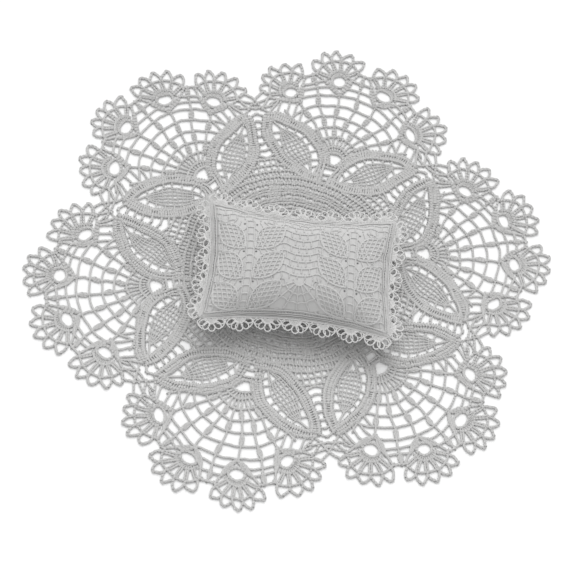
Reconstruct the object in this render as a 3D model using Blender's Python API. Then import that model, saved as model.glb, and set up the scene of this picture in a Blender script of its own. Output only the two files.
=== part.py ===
"""A small lace-covered ring bearer pillow lying on a round crocheted doily with six lobes.

Metres, +Z up. The doily lies on the ground and is centred on the origin. The pillow's long side runs along X.
"""

from math import copysign, cos, pi, radians, sin

import bmesh
import bpy
from mathutils import Vector

MM = 0.001

# Clearances between pieces that touch on the real object
SEAT_GAP = 0.3 * MM
SEAM_GAP = 0.3 * MM

# Doily
DOILY_THICKNESS = 2.0 * MM
LOBES = 6
LOBE_TURN = radians(14.7)
LOBE_HALF_ANGLE = pi / LOBES
MEDALLION_RADIUS = 105 * MM
NOTCH_RADIUS = 200 * MM
PETAL_END_RADIUS = 190 * MM
FAN_EYE_RADIUS = 137.5 * MM
FAN_EYE_HALF_WIDTH = 8.0 * MM
FAN_EYE_HALF_HEIGHT = 5.5 * MM
INNER_SHELL_EYE = (228.0 * MM, 25.3 * MM)
INNER_SHELL_TURN = radians(20)
OUTER_SHELL_EYE = (197.0 * MM, 65.8 * MM)
OUTER_SHELL_TURN = radians(57)
SHELL_EYE_HALF_WIDTH = 7.5 * MM
SHELL_EYE_HALF_HEIGHT = 5.0 * MM
PICOTS_PER_SHELL = 5
PICOT_STEP = radians(24)
PICOT_ROOT_RADIUS = 28.5 * MM
PICOT_SHOULDER_RADIUS = 35.5 * MM
PICOT_TIP_RADIUS = 38.0 * MM
PICOT_SHOULDER_TURN = radians(6.5)
EYE_SIDES = 10
MEDALLION_SIDES = 48

# Pillow
PILLOW_CENTRE = (7 * MM, -13 * MM)
HALF_LENGTH = 93 * MM
HALF_WIDTH = 64 * MM
LONG_SIDE_PULL = 10 * MM
SHORT_SIDE_PULL = 6 * MM
CROWN_HEIGHT = 25.5 * MM
BELLY_DEPTH = 29.0 * MM
REST_DEPTH = 25.4 * MM
PLUMPNESS = 2.2
PANEL_THICKNESS = 0.6 * MM
LACE_THICKNESS = 0.8 * MM
COLUMNS = 14
ROWS = 10

# Lace border, header cord and scalloped trim
BORDER_INSET = 4.5 * MM
BORDER_WIDTH = 5.5 * MM
BORDER_THICKNESS = 1.0 * MM
BORDER_STEPS = 20
BORDER_ROWS = 3
CORD_RADIUS = 1.25 * MM
CORD_SIDES = 6
CORD_STEPS = 12
TRIM_THICKNESS = 1.2 * MM
TRIM_ROOT_WIDTH = 4.0 * MM
TRIM_WIDTH = 12.0 * MM
TRIM_DROOP = 2.0 * MM
SCALLOPS = {"front": 7, "right": 5, "back": 7, "left": 5}
STEPS_PER_SCALLOP = 6
CORNER_STEPS = 2

# Values that follow from the ones above
DOILY_TOP = DOILY_THICKNESS
SEAM_HEIGHT = DOILY_TOP + SEAT_GAP + REST_DEPTH
LACE_OFFSET = SEAT_GAP + LACE_THICKNESS
BORDER_OFFSET = LACE_OFFSET + SEAT_GAP
CORD_OFFSET = SEAT_GAP + CORD_RADIUS
TRIM_OFFSET = CORD_OFFSET + CORD_RADIUS + SEAT_GAP
FILLING_OFFSET = -(PANEL_THICKNESS + SEAT_GAP)
SIDES = ("front", "right", "back", "left")


def clear_scene():
    for obj in list(bpy.data.objects):
        bpy.data.objects.remove(obj)


def fabric(name, grey, roughness):
    """Matt cotton of one slightly warm grey-white."""
    material = bpy.data.materials.new(name)
    material.use_nodes = True
    shader = material.node_tree.nodes["Principled BSDF"]
    shader.inputs["Base Color"].default_value = (grey, grey, grey * 0.985, 1)
    shader.inputs["Roughness"].default_value = roughness
    shader.inputs["Metallic"].default_value = 0
    return material


def place(obj, material, parent):
    obj.data.materials.append(material)
    obj.parent = parent
    bpy.context.scene.collection.objects.link(obj)
    return obj


def mesh_object(name, points, faces, material, parent):
    """A closed mesh from points and faces, with its normals turned outward."""
    mesh = bpy.data.meshes.new(name)
    shape = bmesh.new()
    corners = [shape.verts.new(point) for point in points]
    for face in faces:
        shape.faces.new([corners[index] for index in face])
    bmesh.ops.recalc_face_normals(shape, faces=shape.faces)
    if shape.calc_volume(signed=True) < 0:
        bmesh.ops.reverse_faces(shape, faces=shape.faces)
    shape.to_mesh(mesh)
    shape.free()
    mesh.shade_smooth()
    mesh.set_sharp_from_angle(angle=radians(40))
    return place(bpy.data.objects.new(name, mesh), material, parent)


def empty(name, location):
    obj = bpy.data.objects.new(name, None)
    obj.location = location
    bpy.context.scene.collection.objects.link(obj)
    return obj


# ---- Doily -------------------------------------------------------------------------------------


def polar(radius, angle):
    return Vector((radius * cos(angle), radius * sin(angle)))


def mirrored(points):
    """The outline of a whole lobe from its half at positive y, first point to last and back."""
    return points + [Vector((point.x, -point.y)) for point in reversed(points)]


def inset(outline, distance):
    """Moves each side of an anticlockwise outline inward by the distance."""
    count = len(outline)
    moved = []
    for index, point in enumerate(outline):
        before = (point - outline[index - 1]).normalized()
        after = (outline[(index + 1) % count] - point).normalized()
        inward = Vector((-before.y - after.y, before.x + after.x)).normalized()
        across = inward.dot(Vector((-before.y, before.x)))
        moved.append(point + inward * distance / across)
    return moved


def ellipse(centre, half_across, half_along, turn):
    """A hole's outline: half_along is measured along the turned axis."""
    points = []
    for step in range(EYE_SIDES):
        angle = 2 * pi * step / EYE_SIDES
        along, across = half_along * cos(angle), half_across * sin(angle)
        points.append(
            Vector(
                (
                    centre[0] + along * cos(turn) - across * sin(turn),
                    centre[1] + along * sin(turn) + across * cos(turn),
                )
            )
        )
    return points


def petal_top():
    """Half of the line between the leaves and the fan, from the lobe's axis out to its side."""
    points = [(129, 0), (130, 9), (143, 13.5), (152, 22), (158.5, 33), (164, 48), (167, 66), (167.5, 82)]
    line = [Vector((along * MM, across * MM)) for along, across in points]
    return line + [polar(PETAL_END_RADIUS, LOBE_HALF_ANGLE)]


def shell_edge(eye, turn):
    """The picots of one shell, from its inner end to its outer end."""
    points = []
    for number in range(PICOTS_PER_SHELL):
        middle = turn + PICOT_STEP * (number - (PICOTS_PER_SHELL - 1) / 2)
        for radius, offset in (
            (PICOT_ROOT_RADIUS, -PICOT_STEP / 2),
            (PICOT_SHOULDER_RADIUS, -PICOT_SHOULDER_TURN),
            (PICOT_TIP_RADIUS, 0),
            (PICOT_SHOULDER_RADIUS, PICOT_SHOULDER_TURN),
        ):
            points.append(Vector(eye) + polar(radius, middle + offset))
    points.append(Vector(eye) + polar(PICOT_ROOT_RADIUS, turn + PICOT_STEP * PICOTS_PER_SHELL / 2))
    return points


def fan_outline():
    """The fan with its shells and picots."""
    edge = shell_edge(INNER_SHELL_EYE, INNER_SHELL_TURN) + shell_edge(OUTER_SHELL_EYE, OUTER_SHELL_TURN)
    outer = edge + [polar(NOTCH_RADIUS, LOBE_HALF_ANGLE)]
    half = outer + list(reversed(petal_top()[1:]))
    return mirrored(half)


def petal_outline():
    """The two leaves of a lobe and the bars beside them."""
    steps = MEDALLION_SIDES // (2 * LOBES)
    bottom = [polar(MEDALLION_RADIUS, LOBE_HALF_ANGLE * step / steps) for step in range(steps + 1)]
    return mirrored(bottom[1:] + list(reversed(petal_top()[1:]))) + [bottom[0]]


def anticlockwise(outline):
    doubled = sum(
        outline[index - 1].x * point.y - point.x * outline[index - 1].y for index, point in enumerate(outline)
    )
    return outline if doubled > 0 else list(reversed(outline))


def plate(name, outline, holes, turn, material, parent):
    """A flat lace section with its true outline, lying on the ground."""
    curve = bpy.data.curves.new(name, "CURVE")
    curve.dimensions = "2D"
    curve.fill_mode = "BOTH"
    curve.extrude = DOILY_THICKNESS / 2
    for ring in [outline, *holes]:
        spline = curve.splines.new("POLY")
        spline.points.add(len(ring) - 1)
        for index, point in enumerate(ring):
            spline.points[index].co = (point.x, point.y, 0, 1)
        spline.use_cyclic_u = True
    obj = place(bpy.data.objects.new(name, curve), material, parent)
    obj.location.z = DOILY_THICKNESS / 2
    obj.rotation_euler.z = turn
    return obj


def fan_holes():
    """The open eye at the foot of the fan and the eye of each shell."""
    holes = [ellipse((FAN_EYE_RADIUS, 0), FAN_EYE_HALF_WIDTH, FAN_EYE_HALF_HEIGHT, 0)]
    for eye, turn in ((INNER_SHELL_EYE, INNER_SHELL_TURN), (OUTER_SHELL_EYE, OUTER_SHELL_TURN)):
        for side in (1, -1):
            centre = (eye[0], side * eye[1])
            holes.append(ellipse(centre, SHELL_EYE_HALF_WIDTH, SHELL_EYE_HALF_HEIGHT, side * turn))
    return holes


def build_doily():
    parent = empty("doily", (0, 0, 0))
    rim = [polar(MEDALLION_RADIUS, 2 * pi * step / MEDALLION_SIDES) for step in range(MEDALLION_SIDES)]
    half_gap = SEAM_GAP / 2
    plate(
        "doily_medallion", inset(rim, half_gap), [], LOBE_TURN, fabric("medallion_cotton", 0.50, 0.9), parent
    )
    petals = inset(anticlockwise(petal_outline()), half_gap)
    fan = inset(anticlockwise(fan_outline()), half_gap)
    for number in range(LOBES):
        turn = LOBE_TURN + 2 * pi * number / LOBES
        label = number + 1
        plate(f"doily_petals_{label}", petals, [], turn, fabric(f"petal_cotton_{label}", 0.48, 0.9), parent)
        plate(f"doily_fan_{label}", fan, fan_holes(), turn, fabric(f"fan_cotton_{label}", 0.50, 0.9), parent)


# ---- Pillow ------------------------------------------------------------------------------------


def spread(count):
    """Values from -1 to 1 that come closer together near the ends."""
    return [sin(pi / 2 * (2 * step / count - 1)) for step in range(count + 1)]


def cushion_point(across, along, offset, height, lowest=None):
    """A point of the cushion's skin moved outward by the offset; a negative height is its underside."""
    half_length = HALF_LENGTH + offset
    half_width = HALF_WIDTH + offset
    x = across * (half_length - SHORT_SIDE_PULL * (1 - along**2))
    y = along * (half_width - LONG_SIDE_PULL * (1 - across**2))
    fall_across = 1 - abs(across) ** PLUMPNESS
    fall_along = 1 - abs(along) ** PLUMPNESS
    z = height * (max(fall_across, 0) * max(fall_along, 0)) ** 0.5
    if lowest is not None:
        z = max(z, lowest)
    return (x, y, z)


def grid_faces(columns, rows, first):
    """Triangles over a grid of points that starts at index first, split the same way in every layer."""
    faces = []
    for column in range(columns):
        for row in range(rows):
            near = first + column * (rows + 1) + row
            far = near + rows + 1
            if (column < columns / 2) == (row < rows / 2):
                faces += [(near, far, far + 1), (near, far + 1, near + 1)]
            else:
                faces += [(near, far, near + 1), (near + 1, far, far + 1)]
    return faces


def rim_loop(columns, rows):
    """Indices of a grid's edge points, once round."""
    step = rows + 1
    bottom = [column * step for column in range(columns)]
    right = [columns * step + row for row in range(rows)]
    top = [column * step + rows for column in range(columns, 0, -1)]
    left = [row for row in range(rows, 0, -1)]
    return bottom + right + top + left


def shell_mesh(layers):
    """Points and faces of a closed shell between two grids of the same size, joined at their rims."""
    columns, rows = len(layers[0]) - 1, len(layers[0][0]) - 1
    size = (columns + 1) * (rows + 1)
    points = [point for layer in layers for column in layer for point in column]
    faces = grid_faces(columns, rows, 0) + grid_faces(columns, rows, size)
    rim = rim_loop(columns, rows)
    for index, here in enumerate(rim):
        before = rim[index - 1]
        faces.append((before, here, here + size, before + size))
    return points, faces


def skin(offset, height, lift, lowest=None):
    """A grid over the cushion at one offset, its rim at the height of the lift."""
    grid = []
    for across in spread(COLUMNS):
        column = [cushion_point(across, along, offset, height, lowest) for along in spread(ROWS)]
        grid.append([(x, y, z + lift) for x, y, z in column])
    return grid


def build_filling(parent):
    """The loose fibre inside: two skins joined where the seam would be."""
    upper = skin(FILLING_OFFSET, CROWN_HEIGHT + FILLING_OFFSET, 0)
    lower = skin(FILLING_OFFSET, -(BELLY_DEPTH + FILLING_OFFSET), 0, -(REST_DEPTH + FILLING_OFFSET))
    points, faces = shell_mesh([upper, lower])
    size = len(points) // 2
    rim = set(rim_loop(COLUMNS, ROWS))
    joined = [tuple(i - size if i - size in rim else i for i in face) for face in faces]
    joined = [face for face in joined if len(set(face)) == len(face)]
    used = sorted({index for face in joined for index in face})
    place_of = {index: number for number, index in enumerate(used)}
    faces = [tuple(place_of[index] for index in face) for face in joined]
    points = [points[index] for index in used]
    mesh_object("pillow_filling", points, faces, fabric("filling_fibre", 0.80, 0.95), parent)


def build_panels(parent):
    """The woven front and back, sewn together along the seam."""
    half_gap = SEAM_GAP / 2
    outer = skin(0, CROWN_HEIGHT, half_gap)
    inner = skin(-PANEL_THICKNESS, CROWN_HEIGHT - PANEL_THICKNESS, half_gap)
    points, faces = shell_mesh([outer, inner])
    mesh_object("pillow_front_panel", points, faces, fabric("front_cotton", 0.62, 0.8), parent)
    outer = skin(0, -BELLY_DEPTH, -half_gap, -REST_DEPTH)
    inner = skin(
        -PANEL_THICKNESS, -(BELLY_DEPTH - PANEL_THICKNESS), -half_gap, -(REST_DEPTH - PANEL_THICKNESS)
    )
    points, faces = shell_mesh([outer, inner])
    mesh_object("pillow_back_panel", points, faces, fabric("back_cotton", 0.62, 0.8), parent)


def build_overlay(parent):
    """The lace laid over the front panel and caught in the seam."""
    half_gap = SEAM_GAP / 2
    outer = skin(LACE_OFFSET, CROWN_HEIGHT + LACE_OFFSET, half_gap)
    inner = skin(SEAT_GAP, CROWN_HEIGHT + SEAT_GAP, half_gap)
    points, faces = shell_mesh([outer, inner])
    mesh_object("lace_overlay", points, faces, fabric("overlay_lace", 0.66, 0.85), parent)


def border_grid(side, offset):
    """A strip of the cushion's skin along one side, with its ends cut along the corners' diagonals."""
    lengthwise = side in ("front", "back")
    sign = -1 if side in ("front", "left") else 1
    grid = []
    for step in range(BORDER_STEPS + 1):
        place_along = 2 * step / BORDER_STEPS - 1
        column = []
        for row in range(BORDER_ROWS + 1):
            distance = BORDER_INSET + BORDER_WIDTH * row / BORDER_ROWS
            if lengthwise:
                across = place_along * (1 - (distance + SEAM_GAP) / HALF_LENGTH)
                along = sign * (1 - distance / HALF_WIDTH)
            else:
                across = sign * (1 - distance / HALF_LENGTH)
                along = place_along * (1 - (distance + SEAM_GAP) / HALF_WIDTH)
            x, y, z = cushion_point(across, along, offset, CROWN_HEIGHT + offset)
            column.append((x, y, z + SEAM_GAP / 2))
        grid.append(column)
    return grid


def build_border(parent):
    """The ridged tape that frames the lace, one length for each side."""
    for side in SIDES:
        layers = [border_grid(side, BORDER_OFFSET + BORDER_THICKNESS), border_grid(side, BORDER_OFFSET)]
        points, faces = shell_mesh(layers)
        mesh_object(
            f"lace_border_{side}", points, faces, fabric(f"border_tape_{side}", 0.68, 0.85), parent
        )


def rim_point(side, along):
    """A point of the lace's rim and the direction away from the pillow, along running from -1 to 1."""
    bow = 1 - along**2
    half_length = HALF_LENGTH + LACE_OFFSET
    half_width = HALF_WIDTH + LACE_OFFSET
    if side in ("front", "back"):
        sign = -1 if side == "front" else 1
        point = Vector((-sign * along * half_length, sign * (half_width - LONG_SIDE_PULL * bow)))
        slope = Vector((-sign * half_length, sign * 2 * LONG_SIDE_PULL * along))
    else:
        sign = -1 if side == "left" else 1
        point = Vector((sign * (half_length - SHORT_SIDE_PULL * bow), sign * along * half_width))
        slope = Vector((sign * 2 * SHORT_SIDE_PULL * along, sign * half_width))
    return point, Vector((slope.y, -slope.x)).normalized()


def edge_frames(side, steps):
    """Points and outward directions along one side, from the middle of one corner to that of the next."""
    corners = []
    for end in (-1, 1):
        point, straight_out = rim_point(side, end)
        diagonal = Vector((copysign(1, point.x), copysign(1, point.y))).normalized()
        turns = [diagonal.lerp(straight_out, step / CORNER_STEPS).normalized() for step in range(CORNER_STEPS)]
        corners.append([(point, direction) for direction in turns])
    straight = [rim_point(side, 2 * step / steps - 1) for step in range(steps + 1)]
    return corners[0] + straight + list(reversed(corners[1]))


def build_cord(parent):
    """The twisted header cord sewn round the seam, as one closed ring."""
    frames = [frame for side in SIDES for frame in edge_frames(side, CORD_STEPS)[:-1]]
    points = []
    for point, out in frames:
        for number in range(CORD_SIDES):
            angle = 2 * pi * number / CORD_SIDES
            reach = point + out * (CORD_OFFSET + CORD_RADIUS * cos(angle))
            points.append((reach.x, reach.y, CORD_RADIUS * sin(angle)))
    faces = []
    for index in range(len(frames)):
        here, after = index * CORD_SIDES, (index + 1) % len(frames) * CORD_SIDES
        for number in range(CORD_SIDES):
            beside = (number + 1) % CORD_SIDES
            faces.append((here + number, after + number, after + beside, here + beside))
    mesh_object("header_cord", points, faces, fabric("cord_cotton", 0.68, 0.85), parent)


def scallop_reach(share):
    """How far the trim stands out at a share of its side's length, counted in whole scallops."""
    return TRIM_ROOT_WIDTH + (TRIM_WIDTH - TRIM_ROOT_WIDTH) * abs(sin(pi * share)) ** 0.5


def trim_grid(side, top):
    """The upper or lower face of one side's trim, from its root to its scalloped edge."""
    half = TRIM_THICKNESS / 2 if top else -TRIM_THICKNESS / 2
    frames = edge_frames(side, SCALLOPS[side] * STEPS_PER_SCALLOP - 2 * CORNER_STEPS)
    last = len(frames) - 1
    grid = []
    for index, (point, out) in enumerate(frames):
        reach = scallop_reach(SCALLOPS[side] * index / last)
        sideways = Vector((-out.y, out.x)) * SEAM_GAP / 2
        if index == 0:
            point = point + sideways
        if index == last:
            point = point - sideways
        root = point + out * TRIM_OFFSET
        tip = root + out * reach
        fall = TRIM_DROOP * reach / TRIM_WIDTH
        grid.append([(root.x, root.y, half), (tip.x, tip.y, half - fall)])
    return grid


def build_trim(parent):
    """The looped edging, one length for each side, meeting at the corners."""
    for side in SIDES:
        points, faces = shell_mesh([trim_grid(side, True), trim_grid(side, False)])
        mesh_object(f"scallop_trim_{side}", points, faces, fabric(f"trim_loops_{side}", 0.68, 0.85), parent)


def build_pillow():
    parent = empty("pillow", (*PILLOW_CENTRE, SEAM_HEIGHT))
    build_filling(parent)
    build_panels(parent)
    build_overlay(parent)
    build_border(parent)
    build_cord(parent)
    build_trim(parent)


clear_scene()
build_doily()
build_pillow()
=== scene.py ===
"""Looks of a small lace-covered ring pillow lying on a crocheted doily with six lobes."""

import logging
from dataclasses import dataclass, field
from enum import Enum
from math import ceil, cos, pi, radians, sin, sqrt
from typing import Iterable, Sequence

import bmesh
import bpy
import numpy as np
from bpy.types import Material, Mesh, Node, NodeSocket, NodeTree, Object
from mathutils import Matrix, Vector
from mathutils.bvhtree import BVHTree


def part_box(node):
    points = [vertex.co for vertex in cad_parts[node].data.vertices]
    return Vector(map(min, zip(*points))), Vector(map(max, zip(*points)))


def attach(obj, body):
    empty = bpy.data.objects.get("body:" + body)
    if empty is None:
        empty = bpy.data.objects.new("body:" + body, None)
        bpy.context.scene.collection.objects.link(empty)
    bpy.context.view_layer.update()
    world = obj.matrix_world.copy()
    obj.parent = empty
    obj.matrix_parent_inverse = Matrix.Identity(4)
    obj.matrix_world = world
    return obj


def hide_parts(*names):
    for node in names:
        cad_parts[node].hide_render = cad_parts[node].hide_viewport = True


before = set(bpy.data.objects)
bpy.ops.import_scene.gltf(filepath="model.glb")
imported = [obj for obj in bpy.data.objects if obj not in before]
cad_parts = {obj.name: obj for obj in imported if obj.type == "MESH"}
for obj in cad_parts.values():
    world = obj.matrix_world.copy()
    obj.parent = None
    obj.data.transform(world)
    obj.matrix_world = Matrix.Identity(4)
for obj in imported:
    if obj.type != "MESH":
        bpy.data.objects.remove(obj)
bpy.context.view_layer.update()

logging.basicConfig(level=logging.INFO, format="%(message)s")
LOG = logging.getLogger("lace")
MM = 0.001
UP = (0.0, 0.0, 1.0)
SIDES = ("front", "right", "back", "left")
Points = np.ndarray
Place = Sequence[float]
Line = tuple[Points, float, bool]


# ---- Threads -----------------------------------------------------------------------------------


@dataclass
class Thread:
    """One run of thread: its points, its width, and which way its face looks at each point."""

    points: Points
    width: float
    closed: bool = False
    face: Points | None = None


def smooth(points: Sequence[Place], per_span: int = 6, closed: bool = False) -> Points:
    """A smooth curve through given points.

    Args:
        points: the points that the curve passes through, two or three numbers each.
        per_span: how many steps to take between two of them.
        closed: whether the curve runs back to its first point.

    Returns:
        The points along the curve, one row each.
    """
    given = np.asarray(points, float)
    if closed:
        ends = (given[-1:], given[:2])
    else:
        ends = (2 * given[:1] - given[1:2], 2 * given[-1:] - given[-2:-1])
    held = np.concatenate([ends[0], given, ends[1]])
    share = np.linspace(0, 1, per_span, endpoint=False)[:, None]
    spans = []
    for a, b, c, d in zip(held, held[1:], held[2:], held[3:]):
        cubic = -a + 3 * b - 3 * c + d
        square = 2 * a - 5 * b + 4 * c - d
        spans.append(0.5 * (2 * b + (c - a) * share + square * share**2 + cubic * share**3))
    line = np.concatenate(spans)
    return line if closed else np.concatenate([line, given[-1:]])


def way_along(line: Points) -> Points:
    """The way along a line from its first point to each of its points."""
    return np.concatenate([[0], np.cumsum(np.linalg.norm(np.diff(line, axis=0), axis=1))])


def along(line: Points, shares: Sequence[float]) -> Points:
    """Points at the given shares of a line's length.

    Args:
        line: the line's points.
        shares: shares of its length, from 0 to 1.

    Returns:
        One point for each share.
    """
    way = way_along(line)
    wanted = np.asarray(shares, float) * way[-1]
    return np.stack([np.interp(wanted, way, line[:, axis]) for axis in range(line.shape[1])], axis=1)


def length_of(line: Points) -> float:
    """The length of a line of points."""
    return float(np.linalg.norm(np.diff(line, axis=0), axis=1).sum())


def beside(line: Points, distance: float | Points) -> Points:
    """A flat line moved to its left.

    Args:
        line: the line's points, two numbers each.
        distance: how far to move it, one number or one for each point.

    Returns:
        The moved points.
    """
    ahead = np.gradient(line, axis=0)
    ahead /= np.linalg.norm(ahead, axis=1)[:, None]
    left = np.stack([-ahead[:, 1], ahead[:, 0]], axis=1)
    return line + left * np.reshape(distance, (-1, 1))


def nearest(line: Points, place: Place) -> Points:
    """The point of a line that lies nearest to a place."""
    return line[np.argmin(np.linalg.norm(line - place, axis=1))]


def polar(centre: Place, radius: float | Points, angle: float | Points) -> Points:
    """Points at a distance and direction from a centre."""
    return np.stack([centre[0] + radius * np.cos(angle), centre[1] + radius * np.sin(angle)], axis=-1)


# ---- Node trees that work the thread ---------------------------------------------------------------


@dataclass
class Tree:
    """A small writer of node trees: it makes nodes, sets their values and joins their sockets."""

    tree: NodeTree

    @classmethod
    def group(cls, name: str, kind: str) -> "Tree":
        """An empty node group of a kind such as GeometryNodeTree."""
        return cls(bpy.data.node_groups.new(name, kind))

    def socket(self, name: str, way: str, kind: str, value: object = None) -> None:
        """Adds an input or output to the group.

        Args:
            name: the socket's name.
            way: INPUT or OUTPUT.
            kind: what it carries, such as Float.
            value: its default, where it has one.
        """
        made = self.tree.interface.new_socket(name=name, in_out=way, socket_type="NodeSocket" + kind)
        if value is not None:
            made.default_value = value

    def feed(self, node: Node, **inputs: object) -> Node:
        """Sets a node's inputs.

        Args:
            node: the node.
            inputs: values, or the sockets that feed them, where a node stands for its first output.
                A name is the socket's with _ for a space, or in_ and the socket's number.

        Returns:
            The node.
        """
        for name, value in inputs.items():
            socket = node.inputs[int(name[3:]) if name.startswith("in_") else name.replace("_", " ")]
            source = value.outputs[0] if isinstance(value, Node) else value
            if isinstance(source, NodeSocket):
                self.tree.links.new(source, socket)
            else:
                socket.default_value = source
        return node

    def node(self, kind: str, settings: dict | None = None, **inputs: object) -> Node:
        """Adds a node.

        Args:
            kind: the node's type.
            settings: its properties by name.
            inputs: its inputs, as for feed.

        Returns:
            The node.
        """
        node = self.tree.nodes.new(kind)
        for name, value in (settings or {}).items():
            setattr(node, name, value)
        return self.feed(node, **inputs)

    def math(self, operation: str, *values: object) -> Node:
        """Adds a math node that works on up to three values or sockets."""
        inputs = {f"in_{index}": value for index, value in enumerate(values)}
        return self.node("ShaderNodeMath", {"operation": operation}, **inputs)

    def identifier(self, name: str) -> str:
        """The identifier of the group's input of that name."""
        return next(item.identifier for item in self.tree.interface.items_tree if item.name == name)


class Work(Enum):
    """The ways in which a run of thread is worked."""

    CROCHET = "crochet"
    TWIST = "twist"


@dataclass
class Stitcher:
    """Turns runs of thread into meshes of crochet links or twisted plies. Sizes are shares of the width."""

    link_pitch: float = 1.02
    link_length: float = 1.5
    link_steps: int = 8
    link_sides: int = 3
    link_taper: float = 0.38
    link_fullness: float = 1.25
    link_tilt: float = 0.16
    strand_share: float = 0.235
    core_share: float = 0.27
    core_sides: int = 4
    twist_step: float = 0.62
    twist_pitch: float = 2.6
    ply_points: int = 8
    ply_waist: float = 0.3
    trees: dict = field(default_factory=dict)

    def link_ring(self, turn: float) -> list[Vector]:
        """The points round the strand of a chain stitch at one place of its loop.

        Args:
            turn: the place in the loop, from 0 at its head.

        Returns:
            The points.
        """
        narrow = (1 - self.link_taper - self.link_taper * cos(turn)) ** 0.5 * self.link_fullness
        aside = (0.5 - self.strand_share) * sin(turn) * narrow
        centre = Vector((0.5 * self.link_length * cos(turn), aside, -self.link_tilt * cos(turn)))
        ahead = Vector((-sin(turn) * self.link_length, cos(turn), 0.3 * sin(turn))).normalized()
        across = ahead.cross(Vector(UP)).normalized()
        over = across.cross(ahead)
        angles = [2 * pi * (side + 0.5) / self.link_sides for side in range(self.link_sides)]
        return [centre + self.strand_share * (across * cos(angle) + over * sin(angle)) for angle in angles]

    def link(self) -> Object:
        """One chain stitch of width 1: a teardrop loop of yarn, its round end high and its tail low."""
        mesh = bpy.data.meshes.new("chain_link")
        shape = bmesh.new()
        turns = [2 * pi * step / self.link_steps for step in range(self.link_steps)]
        rings = [[shape.verts.new(point) for point in self.link_ring(turn)] for turn in turns]
        for ring, after in zip(rings, rings[1:] + rings[:1]):
            for side in range(self.link_sides):
                nearby = (side + 1) % self.link_sides
                shape.faces.new((ring[side], ring[nearby], after[nearby], after[side]))
        bmesh.ops.recalc_face_normals(shape, faces=shape.faces)
        shape.to_mesh(mesh)
        shape.free()
        mesh.shade_smooth()
        return bpy.data.objects.new("chain_link", mesh)

    def ply(self) -> Object:
        """The outline across a two-ply cord of radius 1, as a closed line."""
        mesh = bpy.data.meshes.new("ply_outline")
        points = []
        for step in range(self.ply_points):
            turn = 2 * pi * step / self.ply_points
            reach = 1 - self.ply_waist * sin(turn) ** 2
            points.append((reach * cos(turn), reach * sin(turn), 0))
        edges = [(step, (step + 1) % self.ply_points) for step in range(self.ply_points)]
        mesh.from_pydata(points, edges, [])
        return bpy.data.objects.new("ply_outline", mesh)

    def tree(self, work: Work) -> Tree:
        """The node tree for one way of working, built once.

        Args:
            work: the way of working.

        Returns:
            The tree, with named inputs for its sizes.
        """
        if work not in self.trees:
            self.trees[work] = self.crochet_tree() if work is Work.CROCHET else self.twist_tree()
        return self.trees[work]

    def common_start(self, name: str, sizes: dict[str, float]) -> tuple[Tree, Node, Node, Node]:
        """The part that both trees share: thread lines in, widths read, evenly spaced curves out.

        Args:
            name: the tree's name.
            sizes: the tree's number inputs and their defaults, the first being the spacing.

        Returns:
            The tree, its group input, the node that reads the width, and the spaced curves.
        """
        tree = Tree.group(name, "GeometryNodeTree")
        tree.socket("Geometry", "INPUT", "Geometry")
        for size, value in sizes.items():
            tree.socket(size, "INPUT", "Float", value)
        tree.socket("Shape", "INPUT", "Object")
        tree.socket("Material", "INPUT", "Material")
        tree.socket("Geometry", "OUTPUT", "Geometry")
        given = tree.node("NodeGroupInput")
        width = tree.node("GeometryNodeInputNamedAttribute", {"data_type": "FLOAT"}, Name="width")
        curve = tree.node("GeometryNodeMeshToCurve", Mesh=given)
        step = tree.math("MULTIPLY", width, given.outputs[next(iter(sizes))])
        spaced = tree.node("GeometryNodeResampleCurve", {"mode": "LENGTH"}, Curve=curve, Length=step)
        return tree, given, width, spaced

    def finish_tree(self, tree: Tree, given: Node, geometry: Node) -> Tree:
        """Ends a tree with real geometry and its material.

        Args:
            tree: the tree.
            given: its group input.
            geometry: the node that makes its geometry.

        Returns:
            The same tree.
        """
        real = tree.node("GeometryNodeRealizeInstances", Geometry=geometry)
        painted = tree.node("GeometryNodeSetMaterial", Geometry=real, Material=given.outputs["Material"])
        tree.node("NodeGroupOutput", Geometry=painted)
        return tree

    def crochet_tree(self) -> Tree:
        """Chain stitches set along each line over a thin core."""
        sizes = {"Pitch": self.link_pitch, "Core": self.core_share}
        tree, given, width, spaced = self.common_start("Crochet", sizes)
        turn = "FunctionNodeAlignRotationToVector"
        ahead = tree.node(turn, {"axis": "X"}, Vector=tree.node("GeometryNodeInputTangent"))
        face = tree.node("GeometryNodeInputNamedAttribute", {"data_type": "FLOAT_VECTOR"}, Name="face")
        upright = tree.node(turn, {"axis": "Z", "pivot_axis": "X"}, Rotation=ahead, Vector=face)
        link = tree.node("GeometryNodeObjectInfo", Object=given.outputs["Shape"])
        links = tree.node(
            "GeometryNodeInstanceOnPoints",
            Points=spaced,
            Instance=link.outputs["Geometry"],
            Rotation=upright,
            Scale=width,
        )
        radius = tree.math("MULTIPLY", width, given.outputs["Core"])
        outline = tree.node("GeometryNodeCurvePrimitiveCircle", Resolution=self.core_sides, Radius=1.0)
        core = tree.node(
            "GeometryNodeCurveToMesh", Curve=spaced, Profile_Curve=outline, Scale=radius, Fill_Caps=True
        )
        both = tree.node("GeometryNodeJoinGeometry", Geometry=links)
        tree.feed(both, Geometry=core)
        return self.finish_tree(tree, given, both)

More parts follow.
